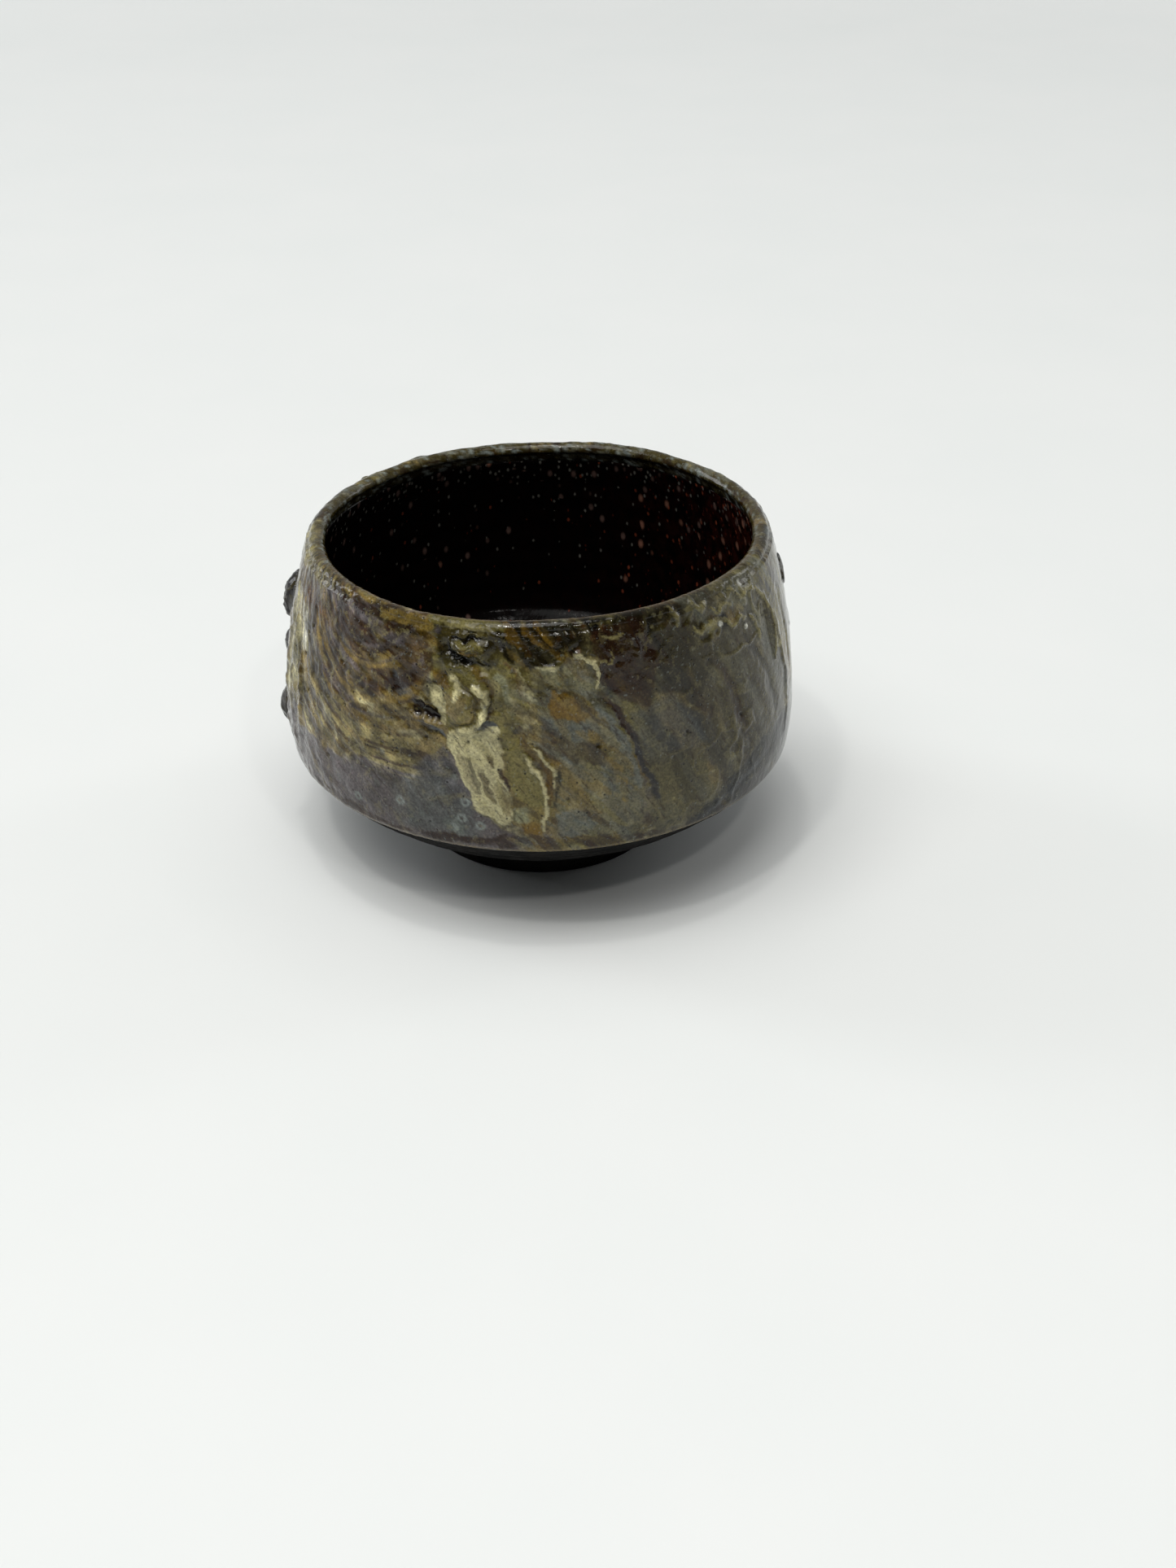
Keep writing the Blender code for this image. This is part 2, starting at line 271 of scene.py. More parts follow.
# The ash glaze as it is seen from the front, in the order in which the colours lie on each other.
GLAZE = [
    # left: mauve iron under a lilac bloom, with straw-coloured ash run over it
    area("mauve", 0.85, 3.0, (-96, 76), (-28, 77), (-24, 66), (-28, 58), (-40, 56), (-60, 53), (-96, 56)),
    area("straw", 0.8, 2.0, (-96, 78), (-58, 78), (-50, 75.5), (-62, 73), (-72, 72.5), (-96, 70)),
    line("gold", 0.75, 1.4, (-62, 76.5), (-52, 75.5), (-42, 75.3), (-34, 74)),
    line("rust", 0.7, 1.6, (-72, 69), (-66, 68.5), (-60, 68)),
    line("dark_olive", 0.8, 1.5, (-58, 74.6), (-50, 73.4), (-42, 73.6), (-36, 72.6)),
    line("umber", 0.8, 1.2, (-34, 75.4), (-30, 74), (-26, 72.4)),
    line("dark_olive", 0.8, 1.0, (-46, 70.4), (-40, 68.6), (-36, 68.4)),
    line("lilac", 0.8, 1.6, (-60, 73), (-52, 72), (-45, 72.6), (-38, 70.8), (-33, 69.8)),
    line("lilac", 0.6, 1.2, (-58, 66), (-50, 62.5), (-44, 61)),
    line("umber", 0.7, 1.5, (-57, 70), (-50, 68.4), (-43, 68.6), (-36, 67.4)),
    line("umber", 0.7, 1.3, (-47, 65), (-41, 62.5), (-34, 61), (-29, 60)),
    area("gold", 0.85, 1.0, (-39.5, 66.6), (-36, 67.2), (-32.4, 65), (-34.5, 63.6), (-39, 64)),
    line("gold", 0.7, 1.1, (-52, 60.5), (-48, 59), (-45, 57.5)),
    line("gold", 0.75, 1.0, (-38, 59), (-34, 58), (-29.5, 56.4)),
    # pale cream ash at the left edge, partly a painted sheen; the two white streaks on it are a painted
    # reflection along the ridge there
    area("cream", 0.75, 2.4, (-80, 68), (-70, 66), (-62, 62.5), (-61, 60), (-66, 56), (-70, 48), (-80, 40)),
    line("white", 0.6, 1.6, (-72, 66), (-68.6, 60), (-67.4, 54)),
    line("white", 0.5, 1.4, (-70, 52), (-67.4, 46), (-66, 39)),
    area("tan", 0.85, 1.6, (-72, 56), (-62, 56), (-55, 51), (-46, 50.5), (-38, 53), (-28, 53), (-22, 49.8),
         (-23, 45), (-34, 43), (-42, 41.8), (-48, 38.4), (-60, 38.4), (-70, 37.4)),
    line("mauve", 0.75, 2.0, (-62, 58), (-54, 54.6), (-46, 52), (-42, 51.5)),
    line("lilac", 0.5, 1.0, (-58, 56.5), (-50, 54), (-45, 53.4)),
    line("cream", 0.7, 1.3, (-67, 52), (-66, 46), (-63, 41), (-61, 39.6)),
    line("cream", 0.75, 1.2, (-40, 52.4), (-35, 51.4), (-30, 50.6), (-26.5, 50.2)),
    line("cream", 0.6, 1.0, (-57, 50), (-53, 46), (-50, 43)),
    line("cream", 0.6, 0.9, (-44, 55.6), (-42.5, 54), (-40, 54.2)),
    line("umber", 0.7, 1.4, (-40, 45.4), (-34, 45.8), (-28, 45.2), (-24.5, 46.4)),
    line("umber", 0.55, 1.2, (-36, 43), (-30, 42.6), (-25, 43.6)),
    # lower left: slate where the glaze is thin over the clay
    area("slate", 0.95, 1.4, (-98, 38), (-70, 37), (-61, 38.2), (-48, 38), (-42, 41), (-36, 43), (-30, 42),
         (-26, 44.5), (-20.5, 49.5), (-17.5, 46), (-13, 34), (-9, 31), (-4, 28), (-4, 25), (-98, 22)),
    line("mauve", 0.7, 2.0, (-57, 38.6), (-54, 34), (-52, 29)),
    line("tan", 0.4, 1.2, (-60, 33), (-58, 29.6)),
    area("cloud", 0.6, 3.0, (-30, 42), (-20, 47), (-14, 34), (-14, 28), (-30, 28)),
    area("blue_grey", 0.3, 4.0, (-34, 38), (-22, 42), (-15, 34), (-12, 27), (-32, 27)),
    area("lilac", 0.5, 4.0, (-60, 36), (-44, 37), (-40, 28), (-56, 27)),
    line("blue_grey", 0.6, 1.3, (-19, 33), (-18.4, 30.6), (-17.2, 28.6)),
    area("blue_grey", 0.7, 1.6, (-21, 32), (-17.6, 32.6), (-16.6, 29), (-18, 27.6), (-20.6, 28.6)),
    line("sky", 0.6, 0.7, (-19.6, 31), (-18.2, 29.6), (-18.6, 28)),
    dot("blue_grey", 0.6, 0.9, (-20.5, 31), (-16.6, 30.4), (-35.9, 44.4), (-18.4, 42.4), (-26, 31.6)),
    ring("sky", 0.8, 1.1, *BUBBLES),
    line("umber", 0.8, 0.8, (-47.5, 27.4), (-43.8, 27.2), (-40, 27)),
    line("umber", 0.85, 0.9, (-25, 26.9), (-18, 26.8), (-12, 27.2), (-8, 28.8)),
    # the slit, and the grey groove that leads to it
    line("cloud", 0.9, 1.3, (-34.4, 63), (-32.6, 60.4), (-30, 58.4), (-28, 57.2)),
    # the slit and the groove under it are painted near black: dark glaze, and painted shade in the grooves
    line("plum", 0.95, 1.3, (-28.6, 56.2), (-26, 56.7), (-23.6, 56.3), (-21.4, 55.8)),
    line("cloud", 0.9, 0.9, (-26.5, 54.6), (-23.6, 53.2), (-20.6, 51.4)),
    line("black", 0.7, 0.5, (-24, 52.4), (-22, 51.6), (-20.8, 51)),
    # top of the front: dark creviced lump, amber and black-brown iron
    line("moss", 0.85, 1.6, (-33, 75), (-27, 73.4), (-22, 73.8), (-14, 74.4)),
    line("amber", 0.7, 1.0, (-30, 73.6), (-26, 72.2), (-22.6, 70.6)),
    area("moss", 0.85, 1.6, (-26, 76.5), (-9, 76.5), (-8, 72), (-11, 70), (-24, 74)),
    line("straw", 0.6, 0.7, (-19, 75.6), (-14.6, 74.6), (-11, 75.2)),
    area("olive", 0.9, 2.0, (-24, 69), (-8, 70), (-2, 62), (-4, 50), (-9, 52), (-19, 52.4), (-25, 60)),
    area("dark_olive", 0.7, 1.6, (-24, 72.6), (-9, 73), (-8, 69), (-12, 66.6), (-23, 67.4)),
    area("amber", 0.8, 1.4, (-24.4, 66), (-20, 66.4), (-19.6, 62.6), (-23, 61.8)),
    area("cream", 0.92, 1.0, (-26, 62), (-22.4, 62.4), (-20.4, 60), (-20, 56), (-20.6, 53.6), (-22.4, 57)),
    area("tan", 0.8, 1.2, (-20.6, 61.6), (-16, 63), (-12.6, 60.4), (-13.6, 56.4), (-17, 54.6), (-20, 56)),
    line("olive", 0.7, 0.9, (-17.4, 62.6), (-15.2, 60.8), (-15.2, 58), (-17, 55.6)),
    line("moss", 0.7, 0.5, (-15.4, 62.4), (-13.6, 60), (-13.8, 57), (-16, 54.6), (-18.6, 53.8)),
    line("cream", 0.9, 0.8, (-14.4, 63.4), (-12.2, 61), (-11.8, 58), (-13, 55.4), (-15.6, 53.2), (-19, 52.2)),
    line("umber", 0.75, 0.5, (-11.2, 61), (-10.6, 58.4), (-11.4, 56)),
    line("cream", 0.8, 0.9, (-19, 65), (-17.8, 62.8), (-18.4, 60.6)),
    line("amber", 0.75, 1.2, (-14.6, 66.4), (-11.6, 64.4), (-10.6, 61.4)),
    line("straw", 0.7, 0.9, (-12.6, 66.8), (-10, 64), (-9.4, 60)),
    area("cloud", 0.9, 0.8, (-14.4, 54.4), (-11.6, 56.4), (-9.4, 54.8), (-10.6, 53.4)),
    # the eye's two crevices, painted black along the grooves that the relief cuts: dark glaze, and painted
    # shade in the crevices
    line("black", 0.95, 0.9, (-21.2, 71), (-19.8, 68.7), (-17, 67.5), (-14, 68), (-11.2, 68)),
    line("black", 0.9, 0.65, (-20.4, 73), (-17, 72.1), (-14.6, 72.3), (-12.4, 72.8)),
    line("amber", 0.6, 0.7, (-17.8, 70.4), (-15.8, 69.6), (-13.8, 70)),
    line("olive", 0.7, 0.7, (-19, 71.6), (-16.8, 71), (-14.6, 71.4), (-12.6, 70.6)),
    dot("black", 0.85, 0.5, (-21, 65.2), (-23.6, 62.9), (-21.4, 62), (-23.6, 73.4), (-22, 70.8)),
    dot("slate", 0.8, 0.9, (-8.4, 71.4), (-28.6, 65.4), (-27.2, 66.6), (-24, 73.8)),
    line("celadon", 0.7, 0.9, (-9.6, 66), (-7.6, 62), (-5.4, 57.4)),
    line("cream", 0.75, 0.8, (-5.4, 66.6), (-3.4, 63), (-1.4, 60.6)),
    line("cream", 0.7, 0.8, (-5.8, 60), (-3.8, 56), (-4.6, 52.4)),
    line("amber", 0.75, 0.9, (-5, 54), (-3, 51), (-0.8, 47), (0.8, 43)),
    line("rust", 0.6, 0.7, (-7, 68.6), (-4.6, 64), (-2.6, 60)),
    # the broad cream stroke and the smooth olive one beside it
    area("cream", 0.92, 0.7, (-20, 51.4), (-15, 53), (-9, 54.6), (-8, 47), (-6.4, 39), (-6.2, 32.6),
         (-8.6, 32), (-12, 33.4), (-14.6, 35.6), (-15.6, 39.6), (-17.8, 45.6)),
    line("mauve", 0.65, 1.1, (-16.4, 47), (-15, 43), (-14, 39.6)),
    line("stone", 0.6, 0.9, (-12.8, 45), (-11, 41), (-9.6, 38)),
    line("umber", 0.75, 0.7, (-11, 47.8), (-10.6, 46.2)),
    line("umber", 0.75, 0.8, (-8.8, 45), (-7.4, 43.4), (-6.6, 41.6)),
    line("tan", 0.6, 1.2, (-9.6, 42), (-8, 38.6), (-7.2, 35.4)),
    line("straw", 0.6, 1.0, (-13.4, 38.4), (-12.2, 36), (-10.8, 34.2)),
    area("olive", 0.95, 0.7, (-9, 52.6), (-5.4, 53.2), (-1.8, 47.8), (0.2, 42), (0.6, 37), (-0.8, 32.6),
         (-3.6, 33.6), (-5.4, 39), (-7, 45)),
    area("celadon", 0.8, 1.4, (-6, 36.6), (-1.8, 36.4), (-2, 32.6), (-5.6, 33)),
    area("ochre", 0.85, 1.2, (-4.4, 33), (-0.4, 33), (0, 29.4), (-3.4, 29)),
    line("cream", 0.9, 0.4, (-3.2, 48.4), (-1, 44.6), (0.3, 41.6), (0.4, 37)),
    line("amber", 0.8, 0.8, (0.4, 45), (1.4, 42), (1.4, 37.4)),
    line("cream", 0.7, 0.35, (-0.8, 49.6), (1.2, 46.6), (2.4, 44.2), (2, 41)),
    line("dark_olive", 0.7, 0.5, (3, 44), (3.2, 40), (2.6, 37)),
    line("cream", 0.75, 0.5, (0.8, 37), (0.4, 33.6), (0.3, 31)),
    # centre: blue-grey and ochre runs
    area("grey", 0.6, 2.4, (0, 62), (12, 62), (18, 50), (22, 38), (22, 27), (2, 27), (3, 44), (-1, 52)),
    area("dark_olive", 0.9, 1.8, (-12, 77.4), (3, 77.4), (6.2, 70.4), (3.4, 66.6), (-2, 67), (-8, 70)),
    line("amber", 0.9, 1.0, (-8.6, 76.4), (-5.4, 73), (-2.4, 70)),
    line("ochre", 0.8, 0.9, (-4.6, 76.4), (-1.6, 73.4), (2.2, 70.4), (4.2, 68.6)),
    line("amber", 0.9, 1.3, (-1, 76.6), (1.6, 73.6), (4, 71.6)),
    line("gold", 0.7, 0.6, (-7, 71.6), (-4.4, 69), (-2.6, 66.4)),
    area("black", 0.88, 2.0, (1.4, 76.6), (16.4, 76.4), (16, 69), (11.4, 69.6), (7, 67.6), (5, 71)),
    line("dark_olive", 0.8, 1.3, (-10.4, 74.4), (-7.6, 72.2), (-5.6, 69)),
    dot("rust", 0.7, 0.8, (4.2, 72.8), (7.4, 73.4), (10, 74.8), (12, 72.4), (8.6, 70.4), (14.4, 74.4)),
    area("blue_grey", 0.35, 1.4, (4.6, 67), (11.6, 68), (12, 62), (9.6, 61), (5.4, 63)),
    area("celadon", 0.8, 0.9, (0.2, 66.4), (4.2, 66.6), (4.2, 63), (2.8, 62.4)),
    area("ochre", 0.95, 0.7, (1.9, 62), (5.4, 61), (6.9, 58.6), (9.8, 56.4), (8, 55.2), (3.2, 55.6),
         (1.7, 58.4)),
    line("rust", 0.6, 0.7, (2.4, 60.6), (5, 58), (7.6, 56.6)),
    area("blue_grey", 0.7, 1.4, (-0.4, 57), (3, 55.4), (3.6, 52), (0.4, 51.6)),
    area("blue_grey", 0.8, 1.4, (5, 54.8), (10.4, 55), (11.4, 52), (6.8, 50.8)),
    dot("umber", 0.8, 0.8, (2.4, 53), (2.8, 51.4), (-5.2, 53.6), (-4, 51.8)),
    line("ochre", 0.85, 0.7, (2, 47.6), (3.6, 46.6)),
    line("blue_grey", 0.7, 1.0, *PALE_STREAK),
    line("gold", 0.75, 1.3, (10.6, 52.6), (13.6, 48), (16.6, 42), (18.6, 37)),
    line("dark_olive", 0.6, 0.8, (9.4, 51), (11.4, 49.6), (12.4, 47.6)),
    line("tan", 0.6, 0.9, (4.4, 45), (7.4, 40.6), (10.4, 36.8)),
    line("blue_grey", 0.65, 0.8, (3.4, 49.6), (7, 45), (9, 42.6)),
    line("blue_grey", 0.6, 0.8, (13, 44.6), (14.6, 41.6), (15, 38)),
    area("blue_grey", 0.75, 1.6, (2.4, 35.4), (8, 36), (11, 34), (11, 28.4), (4, 28)),
    line("ochre", 0.5, 0.5, (4.6, 34.6), (6.4, 33.2)),
    line("umber", 0.6, 0.5, (2.9, 34.4), (3.1, 33), (11.6, 34), (12.4, 34.2)),
    # right: olive-brown iron above, a cloud of blue-grey, then grained olive with steep dark streaks
    area("dark_olive", 0.85, 2.6, (13, 68), (18, 76.6), (37, 76), (38, 68), (34, 62), (33, 57), (24, 58.6),
         (14, 60)),
    area("plum", 0.7, 1.4, (22.4, 70.6), (26.8, 70.4), (27.6, 66.4), (23, 66)),
    line("black", 0.7, 0.6, (22.6, 71.4), (22.4, 68.4), (24.2, 66.2)),
    line("umber", 0.6, 1.0, (14.4, 65.6), (18, 66.6), (20, 65)),
    area("moss", 0.7, 2.6, (27, 73), (38, 73), (45, 64), (40, 58), (30, 62)),
    area("grey", 0.65, 2.2, (33, 77.4), (60, 76.4), (62, 72), (48, 70), (36, 71.4)),
    line("straw", 0.55, 0.8, (36, 70.2), (40, 68.4), (44, 69.4), (48, 68)),
    area("cloud", 0.6, 3.0, (19.6, 55.6), (30, 57), (36, 52), (38, 45), (30, 43.4), (22, 44.6)),
    area("stone", 0.9, 3.0, (36, 64), (66, 72), (72, 28), (44, 28), (38, 44)),
    area("moss", 0.7, 3.0, (40, 62), (52, 68), (62, 50), (60, 32), (48, 32)),
    area("stone", 0.9, 3.0, (22, 45), (38, 44.6), (46, 34), (42, 27), (24, 26)),
    area("olive", 0.28, 3.0, (24, 43), (36, 42), (42, 34), (40, 28), (25, 28)),
    line("tan", 0.5, 1.6, (38, 39), (40.6, 36), (42, 33)),
    line("umber", 0.9, 1.0, *DARK_STREAK),
    line("deep_slate", 0.9, 0.9, *SLATE_STREAK),
    line("umber", 0.65, 1.6, (31.6, 61.6), (35.6, 56.4), (39.4, 50)),
    line("stone", 0.6, 1.2, (34.4, 63.4), (39.6, 57), (43.4, 49.4), (46, 43)),
    line("umber", 0.6, 1.4, (42, 63), (46.4, 54), (49.8, 44.8), (52.2, 39.4)),
    line("grey", 0.6, 1.4, (47.6, 66), (51.4, 56), (55, 46), (58, 37)),
    line("dark_olive", 0.6, 1.3, (53, 63.6), (58, 56), (62, 48), (64, 42)),
    # grey glaze run on the right ridge, lightened as a painted reflection of the bright side there
    line("grey", 0.7, 1.6, (58.6, 68), (63, 58), (66, 48), (68, 38)),
    line("straw", 0.55, 1.0, (45, 39), (47, 35), (49.4, 30.4)),
    line("grey", 0.5, 0.9, (40.6, 44), (43.6, 38.4), (46, 33)),
    dot("white", 0.85, 0.7, *PALE_CHIPS),
    dot("straw", 0.7, 0.5, (51, 33.3), (39.6, 37), (29, 34), (24.6, 27.6), (26.4, 72.6), (24.6, 61.6)),
    # the craggy lumps on the left and the nub on the right are dark
    area("plum", 0.9, 1.2, (-108, 62), (-94, 62), (-92, 40), (-104, 40)),
    area("dark_olive", 0.9, 1.0, (-93, 37), (-84, 37), (-84, 26), (-93, 26)),
    line("olive", 0.7, 0.8, (-104, 60), (-101, 56), (-101, 50)),
    area("dark_olive", 0.8, 1.0, (85, 69), (92, 69), (93, 60), (86, 60)),
    # the belly's edge, where the glaze thins to a pale line, partly a painted glint, over a dark one
    line("umber", 0.75, 1.4, (-26, 26.4), (-12, 27), (0, 27.6), (12, 27.0), (30, 26)),
    line("umber", 0.8, 1.0, (-66, 26), (-56, 26.8), (-48, 26.2), (-40, 26.6), (-30, 26)),
]
# What lies over everything else: the last runs of slip and ash, and burst bubbles.
LAST_RUNS = [
    area("ochre", 0.55, 0.7, (1.9, 62), (5.4, 61.4), (6.9, 59.6), (10.4, 56.8), (9, 55.4), (3.2, 55.6),
         (1.5, 58.4)),
    line("gold", 0.5, 0.6, (2.6, 60.6), (5, 59), (8, 57)),
    area("cream", 0.35, 0.9, (-19.6, 51.4), (-15, 53), (-10, 54), (-9.4, 47), (-8.4, 39), (-7.6, 33.6),
         (-9, 32.4), (-12, 33.4), (-14.2, 35.6), (-15.2, 39.6), (-17.6, 45.6)),
    line("stone", 0.7, 0.8, (-15.6, 47), (-13.8, 43), (-13, 39.6)),
    line("mauve", 0.75, 0.6, (-11.2, 47.6), (-10.6, 46)),
    line("mauve", 0.6, 0.9, (-12.4, 44), (-11, 41), (-10, 38)),
    line("straw", 0.6, 0.8, (-9.4, 44), (-8.6, 40), (-8, 36)),
    line("umber", 0.75, 0.6, (-8, 44.6), (-7.2, 43), (-6.6, 41)),
    area("olive", 0.85, 0.7, (-7.6, 51.6), (-5, 52), (-1.8, 47.4), (0, 42), (0.2, 37.4), (-1.6, 36),
         (-4.8, 39), (-6.2, 45)),
    line("cream", 0.85, 0.45, (-3.2, 48.6), (-1, 44.6), (0.3, 41.6), (0.4, 37)),
    line("amber", 0.85, 0.8, (0.6, 47), (1.6, 43), (1.6, 38)),
    line("cream", 0.7, 0.4, (-0.8, 49.8), (1.2, 46.6), (2.6, 44.2), (2.2, 41)),
    line("dark_olive", 0.8, 0.5, (3.4, 45), (3.5, 41), (2.8, 37)),
    line("cream", 0.75, 0.5, (0.8, 36.6), (0.4, 33.6), (0.3, 31)),
    area("celadon", 0.6, 1.2, (-5.6, 36), (-2.4, 36), (-2.4, 33), (-5, 33)),
    area("ochre", 0.7, 1.0, (-4, 32.6), (-0.6, 32.6), (-0.4, 29.6), (-3.2, 29.4)),
    area("blue_grey", 0.6, 1.2, (2.6, 35), (7.6, 35.4), (10, 33), (9.6, 28.8), (4.4, 28.4)),
    line("umber", 0.8, 0.8, *DARK_STREAK),
    line("deep_slate", 0.75, 0.8, *SLATE_STREAK),
    line("blue_grey", 0.6, 0.8, *PALE_STREAK),
    area("dark_olive", 0.6, 2.0, (-5, 76.4), (8, 76.4), (12, 73), (10, 70), (2, 68.6), (-4, 70)),
    line("amber", 0.85, 0.8, (-5, 76), (-2.4, 73.4), (0.6, 71)),
    line("ochre", 0.7, 0.6, (-1.6, 76.2), (1, 73.6), (3.4, 71.2)),
    area("umber", 0.65, 2.0, (12, 74), (24, 75), (27, 66), (24, 56), (18, 58), (13, 64)),
    area("dark_olive", 0.5, 2.4, (26, 72), (40, 71), (44, 62), (36, 54), (28, 58)),
    line("gold", 0.7, 1.3, (-40, 74.4), (-33, 74.8), (-26, 74.2)),
    line("olive", 0.8, 1.6, (-26, 75.4), (-18, 76), (-9, 75.6)),
    line("straw", 0.6, 0.6, (-22, 74.6), (-17, 74.9), (-12, 74.3)),
    line("straw", 0.6, 0.5, (14.6, 72.4), (17.6, 71.4), (19.8, 72.6)),
    line("cream", 0.6, 0.45, (8, 68.2), (9.8, 69), (11.4, 68.3), (12.4, 66), (12.3, 62.8)),
    line("straw", 0.6, 0.4, (12.9, 67.4), (14.8, 66.8), (16.2, 68.2), (15.4, 69.4)),
    line("cream", 0.6, 0.5, (-0.6, 67.2), (1.8, 66.5), (4.4, 66.8)),
    # a dark band low on the right: dark glaze, deepened with painted shade where the lower wall faces the
    # shadowed floor
    area("night", 0.8, 2.4, (26, 22), (35, 27.6), (45, 33), (56, 37), (68, 39), (84, 38), (98, 33), (98, 22)),
    line("cloud", 0.6, 0.8, (38, 26.6), (46, 29.8), (55, 32.4), (62, 34)),
    ring("sky", 0.8, 1.0, *BUBBLES),
    ring("blue_grey", 0.6, 0.8, (-24, 34.6), (-37.6, 36), (-28.4, 29.6), (-21, 38.2), (-50, 32)),
    dot("white", 0.85, 0.7, *PALE_CHIPS),
    dot("grey", 0.7, 0.5, (31, 72.6), (36.4, 65.6), (48.6, 62.4), (41.4, 57.6), (27.4, 74.8), (50.6, 75)),
    dot("black", 0.75, 0.5, *PINHOLES),
]

# Pale rims of crawled glaze at the upper right, seen as paint and as relief. Their pale paint is partly a
# painted highlight along the ridges.
RIMS = [
    [(35.6, 73.4), (38, 74.4), (40.4, 73.6), (42, 74.6)],
    [(37, 70.2), (39.4, 68.4), (41.6, 69.8), (44.4, 68.8)],
    [(43, 72.4), (45.4, 70.8), (47, 72), (50, 71)],
    [(47.6, 67.6), (50.4, 66.4), (52, 68), (54.8, 67)],
    [(51.4, 73.8), (54, 72.2), (57, 72.6), (59.6, 71)],
    [(30.4, 75.4), (32.6, 73.6), (33, 71.4)],
    [(59.4, 71.2), (62.6, 69.8), (65, 66.8), (66, 61), (65.2, 53)],
    [(56.8, 66), (58.6, 63.4), (59.6, 60)],
]

# Relief on the wall: height over the wall (negative is a groove), half width, route.
RELIEF = [
    (-0.7, 1.0, [(-29.4, 56.5), (-26, 56.8), (-23.6, 56.3), (-21.0, 55.2)]),
    (0.75, 0.55, [(-30, 55.2), (-26, 54.7), (-21.6, 53.9)]),
    (0.7, 1.2, [(-27.6, 58.8), (-24, 58.8), (-21, 57.8)]),
    (-0.35, 1.0, [(-34.4, 63), (-32.6, 60.4), (-30, 58.4), (-28.6, 57)]),
    (-0.4, 0.8, [(-26.5, 54), (-23.6, 52.8), (-20.6, 51.2)]),
    (-1.5, 0.9, [(-21.2, 71), (-19.8, 68.7), (-17, 68.0), (-14.6, 68.6)]),
    (-0.9, 0.7, [(-14, 67.6), (-12.4, 66.8), (-10.6, 67.4)]),
    (-1.1, 0.7, [(-20.2, 72.6), (-17.6, 71.7), (-15.4, 72.5), (-12.4, 72.2)]),
    (0.7, 0.7, [(-21.6, 68.4), (-20, 66.6), (-16.6, 66.3), (-13, 65.2)]),
    (0.5, 0.5, [(-19.2, 71), (-17.4, 70.0), (-15.4, 71), (-13.4, 70.0)]),
    (0.5, 0.5, [(-17.8, 75.2), (-14.6, 74.4), (-12.2, 74.8), (-10.6, 73.4), (-10, 75)]),
    (0.7, 0.6, [(-14.4, 63.4), (-12.2, 61), (-11.8, 58), (-13, 55.4), (-15.6, 53.2), (-19, 52.2)]),
    (-0.45, 0.5, [(-15.4, 62.4), (-13.6, 60), (-13.8, 57), (-16, 54.6), (-18.6, 53.8)]),
    (0.3, 0.5, [(-17.4, 62.6), (-15.2, 60.8), (-15.2, 58), (-17, 55.6)]),
    (-0.4, 0.5, [(-11.2, 61.6), (-10.4, 58.4), (-11.4, 55)]),
    (-0.3, 0.6, [(-20.4, 62.6), (-18, 63.4), (-15.4, 62.8)]),
    (0.4, 0.5, [(-12.8, 55), (-11.4, 57.2), (-9.4, 56.8)]),
    (0.45, 0.5, [(-3.2, 48.6), (-1, 44.6), (0.3, 41.6), (0.4, 37)]),
    (0.5, 0.5, [(-0.8, 49.8), (1.2, 46.6), (2.4, 44.2), (2, 41)]),
    (-0.3, 0.6, [(3, 45), (3.2, 40), (2.4, 36.6)]),
    (0.35, 0.7, [(0.8, 37), (0.4, 33.6), (0.3, 31)]),
    (0.8, 0.55, [(7.6, 68), (9.6, 69.1), (11.5, 68.3), (12.5, 66), (12.3, 62.6)]),
    (0.55, 0.45, [(12.8, 67.5), (14.7, 66.8), (16.2, 68.2), (15.3, 69.6)]),
    (0.6, 0.6, [(-0.4, 67.6), (1.6, 66.8), (4.2, 67), (5.6, 68.4)]),
    (-0.35, 0.7, [(13.9, 59.6), (16.8, 56.2), (19.6, 51), (22.1, 44.6), (24, 38)]),
    (0.35, 0.9, [(12.4, 58.6), (15.6, 54.6), (18.4, 49.6), (20.6, 43)]),
    (0.5, 0.6, [(22, 72), (21.8, 69), (22.2, 66.4)]),
    (-0.3, 0.9, [(23.4, 70), (25, 68), (26.4, 67)]),
    (-0.22, 1.5, [(31.6, 61.6), (35.6, 56.4), (39.4, 50), (42, 42)]),
    (-0.22, 1.4, [(42, 63), (46.4, 54), (49.8, 44.8), (52.2, 39.4)]),
    (-0.22, 1.4, [(53, 63.6), (58, 56), (62, 48), (64, 42)]),
    (0.55, 0.7, [(-70.4, 56), (-68.4, 49.6), (-67.3, 43.7), (-68, 37)]),
    (0.35, 0.9, [(-76, 66), (-74.6, 54), (-75.4, 42), (-74, 32)]),
    (-0.3, 0.9, [(-72.4, 60), (-71.2, 50), (-71, 40), (-71.4, 32)]),
    (0.4, 1.2, [(-81, 70), (-80, 56), (-81.6, 44), (-80, 30)]),
    (0.3, 0.8, [(70, 62), (71.6, 52), (72.4, 42), (71, 32)]),
    (-0.25, 1.0, [(75, 66), (77, 54), (78, 42)]),
]
PITS = [(11.1, 59.9, 0.9), (-21, 65.2, 0.5), (-23.6, 62.9, 0.4), (-8.4, 71.4, 0.7), (54.2, 64.8, -0.6)]

